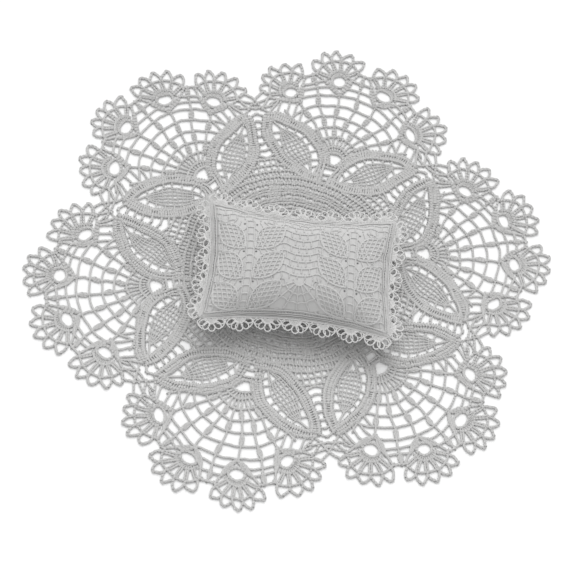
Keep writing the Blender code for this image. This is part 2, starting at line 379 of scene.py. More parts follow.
    def twist_tree(self) -> Tree:
        """A two-ply outline swept along each line while it turns."""
        sizes = {"Step": self.twist_step, "Lay": self.twist_pitch}
        tree, given, width, spaced = self.common_start("TwistedCord", sizes)
        radius = tree.math("MULTIPLY", width, 0.5)
        place = tree.node("GeometryNodeSplineParameter")
        lay = tree.math("MULTIPLY", width, given.outputs["Lay"])
        turns = tree.math("DIVIDE", place.outputs["Length"], lay)
        turn = tree.math("MULTIPLY", turns, 2 * pi)
        twisted = tree.node("GeometryNodeSetCurveTilt", Curve=spaced, Tilt=turn)
        shape = tree.node("GeometryNodeObjectInfo", Object=given.outputs["Shape"])
        outline = tree.node("GeometryNodeMeshToCurve", Mesh=shape.outputs["Geometry"])
        cord = tree.node(
            "GeometryNodeCurveToMesh", Curve=twisted, Profile_Curve=outline, Scale=radius, Fill_Caps=True
        )
        smoothed = tree.node("GeometryNodeSetShadeSmooth", Geometry=cord)
        return self.finish_tree(tree, given, smoothed)

    def guide(self, name: str, threads: Sequence[Thread]) -> Object:
        """The threads as a mesh of bare edges that carries their widths and faces.

        Args:
            name: the guide's name.
            threads: the runs of thread.

        Returns:
            An object in the scene.
        """
        points, edges, widths, faces = [], [], [], []
        for thread in threads:
            first, count = len(points), len(thread.points)
            points.extend(thread.points.tolist())
            edges.extend((first + index, first + index + 1) for index in range(count - 1))
            if thread.closed:
                edges.append((first + count - 1, first))
            widths.extend([thread.width] * count)
            faces.extend(([UP] * count) if thread.face is None else thread.face.tolist())
        mesh = bpy.data.meshes.new(name)
        mesh.from_pydata(points, edges, [])
        mesh.attributes.new("width", "FLOAT", "POINT").data.foreach_set("value", widths)
        mesh.attributes.new("face", "FLOAT_VECTOR", "POINT").data.foreach_set("vector", np.ravel(faces))
        return placed_object(name, mesh)

    def work(self, name: str, threads: Sequence[Thread], work: Work, material: Material) -> Mesh:
        """Works the threads into a plain mesh.

        Args:
            name: the mesh's name.
            threads: the runs of thread.
            work: the way of working them.
            material: the finish.

        Returns:
            The mesh.
        """
        guide = self.guide(name, threads)
        shape = self.link() if work is Work.CROCHET else self.ply()
        tree = self.tree(work)
        modifier = guide.modifiers.new("work", "NODES")
        modifier.node_group = tree.tree
        modifier[tree.identifier("Shape")] = shape
        modifier[tree.identifier("Material")] = material
        mesh = evaluated_mesh(guide, name)
        for attribute in ("width", "face"):
            if attribute in mesh.attributes:
                mesh.attributes.remove(mesh.attributes[attribute])
        for helper in (guide, shape):
            bpy.data.objects.remove(helper)
        return mesh


def placed_object(name: str, data: bpy.types.ID) -> Object:
    """Makes an object and links it to the scene.

    Args:
        name: the object's name.
        data: its mesh, lamp or camera.

    Returns:
        The object.
    """
    obj = bpy.data.objects.new(name, data)
    bpy.context.scene.collection.objects.link(obj)
    return obj


def evaluated_mesh(obj: Object, name: str) -> Mesh:
    """A plain mesh of what an object's modifiers make of it.

    Args:
        obj: the object.
        name: the mesh's name.

    Returns:
        The mesh.
    """
    graph = bpy.context.evaluated_depsgraph_get()
    mesh = bpy.data.meshes.new_from_object(obj.evaluated_get(graph))
    mesh.name = name
    return mesh


# ---- Finishes --------------------------------------------------------------------------------------


class Effects:
    """Surface effects that several finishes share, each a shader node group built once."""

    def __init__(self) -> None:
        """Builds the groups."""
        self.fibre = self.fibre_group()
        self.drift = self.drift_group()
        self.weave = self.weave_group()

    def start(self, name: str, numbers: dict[str, float], outputs: Sequence[str]) -> tuple[Tree, dict, Node]:
        """Starts a group that works on object coordinates in millimetres.

        Args:
            name: the group's name.
            numbers: its number inputs and their defaults.
            outputs: the names of its number outputs.

        Returns:
            The tree, its inputs by name, and the node that gives the place in millimetres.
        """
        tree = Tree.group(name, "ShaderNodeTree")
        for number, value in numbers.items():
            tree.socket(number, "INPUT", "Float", value)
        for output in outputs:
            tree.socket(output, "OUTPUT", "Float")
        given = tree.node("NodeGroupInput")
        place = tree.node("ShaderNodeTexCoord").outputs["Object"]
        scaled = tree.node("ShaderNodeVectorMath", {"operation": "SCALE"}, Vector=place, Scale=1 / MM)
        return tree, {number: given.outputs[number] for number in numbers}, scaled

    def noise(self, tree: Tree, place: Node, scale: float, detail: float, roughness: float = 0.5) -> Node:
        """Adds soft noise of a scale in turns for each millimetre."""
        return tree.node("ShaderNodeTexNoise", Vector=place, Scale=scale, Detail=detail, Roughness=roughness)

    def fibre_group(self) -> Tree:
        """Loose fibres and soft lumps of spun cotton, as a height, and the fibres' fuzz alone."""
        tree, given, place = self.start("CottonFibre", {"Fibre": 0.5, "Lumps": 0.5}, ("Height", "Fuzz"))
        fine = self.noise(tree, place, scale=2.6, detail=4.0, roughness=0.65)
        coarse = self.noise(tree, place, scale=0.55, detail=2.0)
        fibre = tree.math("MULTIPLY", fine, given["Fibre"])
        lumps = tree.math("MULTIPLY", coarse, given["Lumps"])
        tree.node("NodeGroupOutput", Height=tree.math("ADD", fibre, lumps), Fuzz=fine)
        return tree

    def drift_group(self) -> Tree:
        """Slow drifts of brightness from handling and washing, as a factor near 1."""
        tree, given, place = self.start("WashedDrift", {"Amount": 0.06}, ("Factor",))
        broad = self.noise(tree, place, scale=0.022, detail=2.0)
        close = self.noise(tree, place, scale=0.32, detail=3.0, roughness=0.6)
        centred = tree.math("SUBTRACT", tree.math("ADD", broad, close), 1.0)
        spread = tree.math("MULTIPLY", centred, given["Amount"])
        tree.node("NodeGroupOutput", Factor=tree.math("ADD", spread, 1.0))
        return tree

    def weave_group(self) -> Tree:
        """A plain weave of crossing yarns, as a height and a mask of the gaps."""
        tree, given, place = self.start("PlainWeave", {"Yarn": 0.55, "Slubs": 0.3}, ("Height", "Gaps"))
        split = tree.node("ShaderNodeSeparateXYZ", Vector=place)
        turn = tree.math("DIVIDE", pi, given["Yarn"])
        waves = [tree.math("SINE", tree.math("MULTIPLY", split.outputs[axis], turn)) for axis in ("X", "Y")]
        over = tree.math("ABSOLUTE", tree.math("MULTIPLY", *waves))
        slub = self.noise(tree, place, scale=0.8, detail=2.0)
        height = tree.math("ADD", over, tree.math("MULTIPLY", slub, given["Slubs"]))
        tree.node("NodeGroupOutput", Height=height, Gaps=tree.math("SUBTRACT", 1.0, over))
        return tree


@dataclass(frozen=True)
class CottonFinish:
    """Washed white cotton yarn or cloth."""

    name: str
    slot: str
    grey: float
    warmth: float = 0.012
    roughness: float = 0.82
    roughness_spread: tuple = (-0.08, 0.1)
    sheen: float = 0.25
    sheen_roughness: float = 0.6
    gloss: float = 0.2
    fibre: float = 0.5
    lumps: float = 0.5
    drift: float = 0.07
    fuzz_shade: float = 0.14
    woven: bool = False
    gap_shade: float = 0.10
    bump: float = 0.35
    bump_height: float = 0.12 * MM

    def material(self, effects: Effects) -> Material:
        """The finish as a material.

        Args:
            effects: the shared effect groups.

        Returns:
            The material.
        """
        made = bpy.data.materials.new(self.name)
        made.use_nodes = True
        tree = Tree(made.node_tree)
        group = "ShaderNodeGroup"
        drift = tree.node(group, {"node_tree": effects.drift.tree}, Amount=self.drift)
        fibre = tree.node(group, {"node_tree": effects.fibre.tree}, Fibre=self.fibre, Lumps=self.lumps)
        shade, height, fuzz = drift, fibre, fibre.outputs["Fuzz"]
        if self.woven:
            weave = tree.node(group, {"node_tree": effects.weave.tree})
            shade = tree.math(
                "MULTIPLY", shade, tree.math("MULTIPLY_ADD", weave.outputs["Gaps"], -self.gap_shade, 1.0)
            )
            height = tree.math("ADD", height, weave)
        fuzzed = tree.math("MULTIPLY_ADD", fuzz, self.fuzz_shade, 1 - self.fuzz_shade / 2)
        level = tree.math("MULTIPLY", shade, fuzzed)
        tint = (self.grey, self.grey * (1 - self.warmth / 3), self.grey * (1 - self.warmth))
        least, most = (min(self.roughness + part, 1) for part in self.roughness_spread)
        tree.feed(
            made.node_tree.nodes["Principled BSDF"],
            Base_Color=tree.node("ShaderNodeVectorMath", {"operation": "SCALE"}, Vector=tint, Scale=level),
            Roughness=tree.node("ShaderNodeMapRange", Value=fuzz, To_Min=least, To_Max=most),
            Normal=tree.node("ShaderNodeBump", Strength=self.bump, Distance=self.bump_height, Height=height),
            Sheen_Weight=self.sheen,
            Sheen_Roughness=self.sheen_roughness,
            Specular_IOR_Level=self.gloss,
        )
        return made


@dataclass
class Workbox:
    """The finished materials and the tools that every sub-assembly works with."""

    effects: Effects = field(default_factory=Effects)
    stitcher: Stitcher = field(default_factory=Stitcher)
    made: dict = field(default_factory=dict)

    def material(self, finish: CottonFinish) -> Material:
        """The material of a finish, made the first time that it is asked for.

        Args:
            finish: the finish.

        Returns:
            The material.
        """
        if finish.name not in self.made:
            self.made[finish.name] = finish.material(self.effects)
        return self.made[finish.name]

    def piece(self, name: str, mesh: Mesh, finish: CottonFinish, body: str, *nodes: str) -> Object:
        """Puts a mesh in the scene as a piece that rides on a body.

        Args:
            name: the piece's name.
            mesh: its mesh, in place.
            finish: the finish that it takes.
            body: the body that it rides on.
            nodes: the solids that it stands for.

        Returns:
            The piece.
        """
        if not mesh.materials:
            mesh.materials.append(self.material(finish))
        obj = placed_object(name, mesh)
        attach(obj, body)
        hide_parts(*nodes)
        mesh.calc_loop_triangles()
        LOG.info("%s: %d triangles", name, len(mesh.loop_triangles))
        return obj

    def worked(
        self, name: str, threads: Sequence[Thread], work: Work, finish: CottonFinish, body: str, *nodes: str
    ) -> Object:
        """Works threads into a piece that rides on a body and stands for solids."""
        mesh = self.stitcher.work(name, threads, work, self.material(finish))
        return self.piece(name, mesh, finish, body, *nodes)


# ---- Doily -----------------------------------------------------------------------------------------


@dataclass
class HandFeel:
    """The small unevenness of hand work, the same for every thread that passes a place."""

    seed: int = 11
    waves: tuple = ((1.0, 70.0), (0.55, 31.0), (0.28, 12.0))
    per_size: int = 4
    spread: tuple = (0.8, 1.25)
    strength: float = 1.4

    def shift(self, points: Points) -> Points:
        """How far each point strays.

        Args:
            points: places on the flat, in millimetres.

        Returns:
            A sideways shift for each, in millimetres.
        """
        chance = np.random.default_rng(self.seed)
        total = np.zeros((len(points), 2))
        for reach, length in self.waves:
            for _ in range(self.per_size):
                heading, sway, phase = chance.uniform(0, 2 * pi, 3)
                wave_length = length * chance.uniform(*self.spread)
                ahead = np.array((cos(heading), sin(heading))) * 2 * pi / wave_length
                wave = np.sin(points @ ahead + phase)[:, None]
                total += wave * np.array((cos(sway), sin(sway))) * reach / sqrt(self.per_size) * self.strength
        return total


YARN = CottonFinish("crochet_cotton_yarn", "crochet_cotton", grey=0.56, drift=0.08)


@dataclass
class DoilySizes:
    """Sizes that all of the doily's sections share, in millimetres."""

    lobes: int = 6
    first_turn: float = radians(14.7)
    yarn: float = 3.3
    height: float = 1.15
    step_up: float = 0.08
    feel: HandFeel = field(default_factory=HandFeel)

    def __post_init__(self) -> None:
        """Reads the medallion's radius from the frame, and sets half of a lobe's angle."""
        low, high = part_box("doily_medallion")
        self.medallion_radius = (high.x - low.x) / 2 / MM
        self.half_lobe = pi / self.lobes

    def placed(self, lines: Iterable[Line], lobe: int | None) -> list[Thread]:
        """Lines of one section as threads on the doily.

        Args:
            lines: the lines.
            lobe: the lobe that they belong to, or None where they belong to the whole.

        Returns:
            The threads in metres.
        """
        turn = 0 if lobe is None else self.first_turn + 2 * self.half_lobe * lobe
        spin = np.array(((cos(turn), sin(turn)), (-sin(turn), cos(turn))))
        threads = []
        for number, (line, width, closed) in enumerate(lines):
            flat = np.asarray(line, float) @ spin
            flat = flat + self.feel.shift(flat)
            rise = self.height + self.step_up * (number % 3)
            threads.append(Thread(np.column_stack([flat, np.full(len(flat), rise)]) * MM, width * MM, closed))
        return threads


@dataclass
class Draft:
    """A flat drawing of one section: its chains, and its posts. A line's width is a share of the yarn's."""

    sizes: DoilySizes
    lines: list[Line] = field(default_factory=list, init=False)
    posts: list[Line] = field(default_factory=list, init=False)

    def line(self, points: Sequence[Place], share: float = 1.0, closed: bool = False) -> None:
        """Draws a line of chains."""
        self.lines.append((np.asarray(points, float), self.sizes.yarn * share, closed))

    def filling(self, points: Sequence[Place], share: float = 1.0, closed: bool = False) -> None:
        """Draws a curved line that is worked together with the posts."""
        self.posts.append((np.asarray(points, float), self.sizes.yarn * share, closed))

    def straight(self, start: Place, end: Place, share: float = 1.0) -> None:
        """Draws a post, a straight bar of thread between two lines."""
        self.filling(along(np.array((start, end), float), (0, 0.35, 0.7, 1)), share)

    def oval(self, centre: Place, half: Place, turn: float, share: float = 1.0) -> None:
        """Draws an oval ring.

        Args:
            centre: its middle.
            half: half its size along its own direction and across it.
            turn: the direction, from the lobe's axis.
            share: the thread's width as a share of the yarn's.
        """
        steps = np.linspace(0, 2 * pi, 18, endpoint=False)
        local = np.stack([half[0] * np.cos(steps), half[1] * np.sin(steps)], axis=1)
        self.line(local @ np.array(((cos(turn), sin(turn)), (-sin(turn), cos(turn)))) + centre, share, True)

    def both_sides(self) -> None:
        """Repeats everything drawn so far, mirrored across the lobe's axis."""
        for drawn in (self.lines, self.posts):
            drawn.extend([(points * (1, -1), width, closed) for points, width, closed in drawn])


@dataclass
class Leaves(Draft):
    """The pair of leaves in one lobe, with the bars to its neighbours. Sizes in millimetres."""

    upper_band: tuple = ((129, 7.5), (139, 13), (150, 25), (158, 40), (162, 56), (163, 70), (160, 80))
    lower_band: tuple = (
        (111, 4), (109, 18), (110.5, 33), (117, 47.5), (127, 60.5), (139, 70), (150, 76.5), (160, 80)
    )
    band_half: float = 3.4
    post_pitch: float = 2.5
    core_ends: tuple = ((114.5, 15.5), (152.5, 62.5))
    core_half: float = 10.6
    core_lines: int = 6
    core_rows: int = 12
    core_foot: float = 0.2
    core_swell: float = 0.85
    core_tip_share: float = 0.85
    core_line_share: float = 0.56
    core_row_share: float = 0.52
    slit_pitch: float = 9.0
    slit_share: float = 0.75
    bar_radii: tuple = (185, 176, 167.5, 159, 150, 141, 132)
    bar_share: float = 0.92
    bar_gap: float = 2.0
    corner_radii: tuple = (99.0, 106.0, 113.5, 121.0, 128.5)
    corner_pitch: float = 6.4
    corner_close: float = 3.9
    corner_open: float = 115.0
    corner_round_share: float = 0.9
    corner_post_share: float = 0.85
    shortest_post: float = 2.5
    rung_share: float = 0.95
    rail_sag: float = 0.8
    rungs: tuple = ((126.5, 6.5), (118.0, 5.0), (111.5, 5.0), (105.5, 5.5))
    rails: tuple = (((131, 7.5), (101, 3.2)), ((128, 10.5), (108, 8.5)), ((125, 12.0), (112, 13.0)))

    def band(self, middle: Points) -> None:
        """Draws a band: two edges with close posts between them.

        Args:
            middle: the band's middle line.
        """
        for side in (-1, 1):
            self.line(beside(middle, side * self.band_half))
        count = round(length_of(middle) / self.post_pitch)
        shares = (np.arange(count) + 0.5) / count
        dense = along(middle, np.linspace(0, 1, 90))
        near, far = (along(beside(dense, side * self.band_half), shares) for side in (-1, 1))
        for start, end in zip(near, far):
            self.straight(start, end)

    def core_line(self, share: float) -> Points:
        """A line from the inner tip to the outer tip of the leaf's core.

        Args:
            share: how far it bows, as a share of the core's half width.

        Returns:
            The line's points.
        """
        start, end = np.array(self.core_ends, float)
        way = np.linspace(0, 1, 15)[:, None]
        normal = np.array((-(end - start)[1], (end - start)[0])) / np.linalg.norm(end - start)
        bow = np.sin(pi * way) ** self.core_swell * self.core_half * share
        return start + (end - start) * way - normal * bow

    def core(self) -> None:
        """Draws the core of one leaf: lines from tip to tip, and rows across them."""
        for share in np.linspace(-1, 1, self.core_lines):
            line = self.core_line(share)
            if abs(share) < 1.5 / self.core_lines:
                line = along(line, np.linspace(self.core_foot, 1, 12))
            self.line(line, self.core_line_share)
        low, high = self.core_line(-1), self.core_line(1)
        for share in (np.arange(self.core_rows) + 0.9) / (self.core_rows + 1):
            if share > self.core_foot:
                self.straight(along(low, (share,))[0], along(high, (share,))[0], self.core_row_share)

    def slit_posts(self, middle: Points, core: Points, inner: float) -> None:
        """Draws the sparse posts between a band and the core.

        Args:
            middle: the band's middle line.
            core: the core's edge on that side.
            inner: the band's half width, signed towards the core.
        """
        edge = beside(along(middle, np.linspace(0, 1, 60)), inner)
        for place in along(core, np.arange(0.1, 0.98, self.slit_pitch / length_of(core))):
            self.straight(place, nearest(edge, place), self.slit_share)

    def bars(self, lower: Points) -> None:
        """Draws the bars from the lower band to the line between two lobes.

        Args:
            lower: the lower band's middle line.
        """
        outer = beside(along(lower, np.linspace(0, 1, 60)), self.band_half)
        for radius in self.bar_radii:
            target = polar((0, 0), radius - self.bar_gap, self.sizes.half_lobe)
            self.straight(nearest(outer, target), target, self.bar_share)

    def corner(self, lower: Points) -> None:
        """Draws the short rounds and posts that fill the corner between the middle and two lobes.

        Args:
            lower: the lower band's middle line.
        """
        turns = np.arctan2(lower[:, 1], lower[:, 0])
        order = np.argsort(turns)
        reach = np.linalg.norm(lower, axis=1) - self.band_half
        for inner, outer in zip(self.corner_radii, self.corner_radii[1:]):
            angles = np.linspace(0, self.sizes.half_lobe, 40)
            limit = np.interp(angles, turns[order], reach[order])
            kept = angles[limit > outer + 0.5]
            if len(kept) > 2:
                self.line(polar((0, 0), outer, kept), self.corner_round_share)
            pitch = self.corner_pitch if outer > self.corner_open else self.corner_close
            count = max(1, round(self.sizes.half_lobe * outer / pitch))
            for angle in (np.arange(count) + 0.5) / count * self.sizes.half_lobe:
                top = min(outer, float(np.interp(angle, turns[order], reach[order])))
                if top - inner > self.shortest_post:
                    foot, head = (polar((0, 0), radius, angle) for radius in (inner, top))
                    self.straight(foot, head, self.corner_post_share)

    def axis_bars(self) -> None:
        """Draws the small bars on the lobe's axis below the fan's eye, and the lines beside them."""
        for radius, half in self.rungs:
            self.straight((radius, -half), (radius, half), self.rung_share)
        for side in (-1, 1):
            for start, end in self.rails:
                middle = ((start[0] + end[0]) / 2, side * (start[1] + end[1]) / 2 - side * self.rail_sag)
                self.line(smooth(((start[0], side * start[1]), middle, (end[0], side * end[1])), 4))

    def draw(self) -> "Leaves":
        """Draws one lobe's leaves, and returns the drawing."""
        upper, lower = smooth(self.upper_band, 5), smooth(self.lower_band, 5)
        self.band(upper)
        self.band(lower)
        self.core()
        self.straight(self.core_ends[1], self.upper_band[-1], self.core_tip_share)
        self.slit_posts(upper, self.core_line(1), self.band_half)
        self.slit_posts(lower, self.core_line(-1), -self.band_half)
        self.bars(lower)
        self.corner(lower)
        self.both_sides()
        self.axis_bars()
        return self


@dataclass
class Fan(Draft):
    """One lobe's fan with its four shells. Sizes in millimetres."""

    leaves: Leaves
    net: float = 0.86
    post: float = 0.82
    join: float = 0.95
    eye: tuple = (137.5, 0.0)
    eye_half: tuple = (7.4, 9.9)
    eye_ring: float = 1.05
    eye_posts: tuple = ((radians(104), 15), (radians(66), 12))
    arcs: tuple = (15.0, 26.0, 38.5, 51.5, 65.0, 78.0)
    last_arc_end: float = radians(47)
    link_arc: float = 87.5
    link_spans: tuple = ((-10.5, 10.5), (21.0, 40.5))
    block_rounds: tuple = (26.0, 38.5, 51.5, 65.0, 78.0, 92.0, 105.0)
    widest: float = radians(72)
    spoke_step: float = radians(15.5)
    spokes_from_to: tuple = ((25.0, 108.0), (25.0, 80.0), (25.0, 105.0), (25.0, 74.0), (36.0, 74.0))
    block_half: float = 1.7
    block_gap: float = 0.6
    band_feet: tuple = ((48.0, 179.0), (56.0, 185.0), (64.5, 186.0), (73.0, 184.5))
    inner_shell: tuple = (228.0, 25.3, radians(20))
    outer_shell: tuple = (197.0, 65.8, radians(57))
    shell_half: tuple = (6.5, 9.0)
    shell_ring: float = 1.1
    shell_arc: float = 25.0
    shell_foot: float = 14.0
    shell_round: float = 12.5
    shell_past: float = radians(9)
    shell_arc_share: float = 0.9
    flank: float = 16.5
    flank_turn: float = radians(86)
    flank_half: float = 1.9
    shoulder_turn: float = radians(66)
    flank_top: float = radians(68)
    notch_radii: tuple = (199.0, 189.0, 194.0)
    notch_share: float = 0.9
    post_foot: tuple = (9.0, radians(7))
    post_lean: float = radians(2.6)
    picots: int = 5
    picot_step: float = radians(24)
    picot_tip: float = 36.3
    picot_thread: float = 1.02
    picot_foot: tuple = (-0.5, radians(11.9))
    picot_side: tuple = (4.2, radians(10.8))
    picot_neck: tuple = (-2.8, radians(5.4))

    def arc_end(self, radius: float) -> float:
        """The angle at which an arc meets the edge of the leaf's upper band.

        Args:
            radius: the arc's radius.

        Returns:
            The angle from the lobe's axis.
        """
        band = smooth(self.leaves.upper_band, 6)
        for angle in np.arange(radians(30), self.widest, radians(1)):
            if np.linalg.norm(band - polar(self.eye, radius, angle), axis=1).min() < self.leaves.band_half:
                return float(angle)
        return self.widest

    def arc_lines(self) -> None:
        """Draws the arcs round the eye, from one leaf to the other, and the short ones between the shells."""
        for radius in self.arcs:
            end = self.arc_end(radius) if radius < self.arcs[-1] else self.last_arc_end
            self.line(polar(self.eye, radius, np.linspace(-end, end, 9 + int(radius / 3))), self.net)
        for start, end in self.link_spans:
            for side in (-1, 1) if start > 0 else (1,):
                angles = np.radians(np.linspace(start, end, 9)) * side
                self.line(polar(self.eye, self.link_arc, angles), self.net)

    def close_posts(self) -> None:
        """Draws the close posts in the first two rounds above the eye."""
        deep, wide = self.eye_half
        (first_reach, first_count), (reach, count) = self.eye_posts
        for angle in np.linspace(-first_reach, first_reach, first_count):
            edge = 1 / sqrt((cos(angle) / deep) ** 2 + (sin(angle) / wide) ** 2)
            self.straight(polar(self.eye, edge + 1, angle), polar(self.eye, self.arcs[0], angle), self.post)
        for angle in np.linspace(-reach, reach, count):
            start, end = (polar(self.eye, radius, angle) for radius in self.arcs[:2])
            self.straight(start, end, self.post)

    def block(self, start: Points, end: Points, half: float, share: float = 0.9) -> None:
        """Draws a thick block of stitches, swollen in its middle.

        Args:
            start: where it starts.
            end: where it ends.
            half: half of its width at the middle.
            share: the thread's width as a share of the yarn's.
        """
        way = np.linspace(0, 1, 7)
        line = start + (end - start) * way[:, None]
        for side in (-1, 0, 1):
            self.line(beside(line, side * half * np.sin(pi * way)), share)

    def spokes(self) -> None:
        """Draws the spokes, and the thick blocks that sit on them in every second round."""
        rounds = self.block_rounds
        for number, (start, end) in enumerate(self.spokes_from_to):
            for side in (1,) if number == 0 else (-1, 1):
                angle = side * number * self.spoke_step
                self.line(polar(self.eye, np.linspace(start, end, 14), angle), self.net)
                for step, (inner, outer) in enumerate(zip(rounds, rounds[1:])):
                    if (step + number) % 2 == 0 or outer > end + 1:
                        continue
                    foot = polar(self.eye, inner + self.block_gap, angle)
                    self.block(foot, polar(self.eye, outer - self.block_gap, angle), self.block_half)

    def band_bars(self) -> None:
        """Draws the bars that stand on the leaf's upper band under the outer shell."""
        band = smooth(self.leaves.upper_band, 6) + (self.leaves.band_half, 0)
        for place, top in self.band_feet:
            foot = band[np.argmin(np.abs(band[:, 1] - place))]
            for side in (-1, 1):
                self.straight((foot[0], side * foot[1]), (top, side * (place + 0.5)), self.net)

    def shell(self, across: float, out: float, turn: float) -> None:
        """Draws one shell: its eye, the V of thick blocks at its foot, its paired posts and its picots.

        Args:
            across: the eye's place along the lobe's axis.
            out: the eye's place beside that axis.
            turn: the direction in which the shell faces.
        """
        centre = (across, out)
        self.oval(centre, self.shell_half, turn, self.shell_ring)
        apex = polar(centre, self.shell_foot, turn + pi)
        for side in (-1, 1):
            tip = polar(centre, self.flank, turn + side * self.flank_turn)
            self.block(apex, tip, self.flank_half, 1.0)
            self.straight(tip, polar(centre, self.shell_arc, turn + side * self.flank_top), self.join)
        foot_radius, foot_lean = self.post_foot
        for index in range(self.picots + 1):
            edge = turn + self.picot_step * (index - self.picots / 2)
            for side in (-1, 1):
                foot = polar(centre, foot_radius, edge + side * foot_lean)
                self.straight(foot, polar(centre, self.shell_arc, edge + side * self.post_lean), self.net)
        reach = self.picots * self.picot_step / 2 + self.shell_past
        self.filling(polar(centre, self.shell_round, np.linspace(turn - reach, turn + reach, 12)), self.join)
        top = polar(centre, self.shell_arc, np.linspace(turn - reach, turn + reach, 22))
        self.line(top, self.shell_arc_share)
        self.picot_loops(centre, turn)

    def picot_loops(self, centre: Place, turn: float) -> None:
        """Draws a shell's picots, each a loop drawn out to a point.

        Args:
            centre: the shell's middle.
            turn: the direction in which the shell faces.
        """
        starts = (self.shell_arc, self.shell_arc, self.picot_tip)
        parts = (self.picot_foot, self.picot_side, self.picot_neck)
        half = [(start + out, lean) for start, (out, lean) in zip(starts, parts)]
        for index in range(self.picots):
            middle = turn + self.picot_step * (index - (self.picots - 1) / 2)
            outline = [polar(centre, radius, middle - lean) for radius, lean in half]
            outline.append(polar(centre, self.picot_tip, middle))
            outline += [polar(centre, radius, middle + lean) for radius, lean in reversed(half)]
            self.filling(smooth(outline, 3), self.picot_thread)

    def joins(self) -> None:
        """Draws the chains that join neighbouring shells."""
        *inner_eye, inner_turn = self.inner_shell
        *outer_eye, turn = self.outer_shell
        for radius, lean in ((self.flank, self.flank_turn), (self.shell_arc, self.shoulder_turn)):
            here = polar(inner_eye, radius, inner_turn + lean)
            self.straight(here, polar(outer_eye, radius, turn - lean), self.join)
            inward = polar(inner_eye, radius, inner_turn - lean)
            self.straight(inward, inward * (1, 0), self.join)

    def notch(self) -> None:
        """Draws the net in the notch between two lobes."""
        *eye, turn = self.outer_shell
        half = self.sizes.half_lobe
        side = polar(eye, self.flank, turn + self.flank_turn)
        shoulder = polar(eye, self.shell_arc, turn + self.shoulder_turn)
        leaf_tip = np.array(self.leaves.upper_band[-1], float)
        deep, near, far = self.notch_radii
        deepest = polar((0, 0), deep, half)
        second = polar((0, 0), near, half - radians(2.1))
        for points in (
            (side, (side + leaf_tip) / 2 + (0, 0.8), leaf_tip + (3, 1)),
            (shoulder, (shoulder + second) / 2, second),
            (shoulder + (2, 5), (184, 96), deepest),
        ):
            self.line(smooth(points, 4), self.join)
        for start, end in (
            (second, deepest),
            ((second + leaf_tip) / 2 + (2, -1.5), second),
            (side, (side + second) / 2 + (1, 0)),
            ((174.5, 80.5), polar((0, 0), near, half)),
            ((179, 88.5), polar((0, 0), far, half)),
        ):
            self.straight(start, end, self.notch_share)

    def draw(self) -> Draft:
        """Draws one lobe's fan, and returns the drawing."""
        for shell in (self.inner_shell, self.outer_shell):
            self.shell(*shell)
        self.joins()
        self.notch()
        self.both_sides()
        self.oval(self.eye, self.eye_half, 0, self.eye_ring)
        self.arc_lines()
        self.close_posts()
        self.spokes()
        self.band_bars()
        return self


@dataclass
class Medallion(Draft):
    """The doily's round middle, worked in rounds. Sizes in millimetres."""

    rim: float = 99.0
    open_rows: tuple = ((99.0, 93.0, 8.0, 1.2), (86.8, 81.2, 8.2, 1.2), (75.0, 69.6, 9.5, 1.5))
    solid_bands: tuple = ((93.0, 86.8), (81.2, 75.0), (69.6, 4.0))
    round_pitch: float = 3.1
    rim_share: float = 0.9
    post_share: float = 0.95
    patch_radius: float = 88.0
    patch_half: tuple = (9.0, 5.5)
    patch_rows: int = 8
    patch_taper: float = 0.55

    def circle(self, radius: float) -> Points:
        """A round of the given radius as a closed line."""
        steps = max(12, int(radius * 1.6))
        return polar((0, 0), radius, np.linspace(0, 2 * pi, steps, endpoint=False))

    def rounds(self) -> None:
        """Draws the rim, the solid bands of close rounds, and the open rows of posts between them."""
        self.line(self.circle(self.rim), self.rim_share, True)
        for outer, inner in self.solid_bands:
            count = round((outer - inner) / self.round_pitch) + 1
            for number, radius in enumerate(np.linspace(outer, inner, count)):
                draw = self.filling if number % 2 else self.line
                draw(self.circle(radius), 1.0, True)
        for outer, inner, pitch, apart in self.open_rows:
            count = 6 * max(1, round(2 * pi * outer / pitch / 6))
            for post in range(count):
                for side in (-1, 1):
                    angle = 2 * pi * post / count + side * apart / outer
                    foot, head = (polar((0, 0), radius, angle) for radius in (inner, outer))
                    self.straight(foot, head, self.post_share)

    def patches(self) -> None:
        """Draws the six solid diamonds between the lobes."""
        half_long, half_wide = self.patch_half
        for lobe in range(self.sizes.lobes):
            turn = self.sizes.first_turn + self.sizes.half_lobe * (2 * lobe + 1)
            centre = polar((0, 0), self.patch_radius, turn)
            ahead, aside = polar((0, 0), 1, turn), polar((0, 0), 1, turn + pi / 2)
            for step in np.linspace(-1, 1, self.patch_rows):
                reach = half_wide * (1 - self.patch_taper * abs(step))
                place = centre + ahead * step * half_long
                self.straight(place - aside * reach, place + aside * reach)

    def draw(self) -> Draft:
        """Draws the whole middle, and returns the drawing."""
        self.rounds()
        self.patches()
        return self


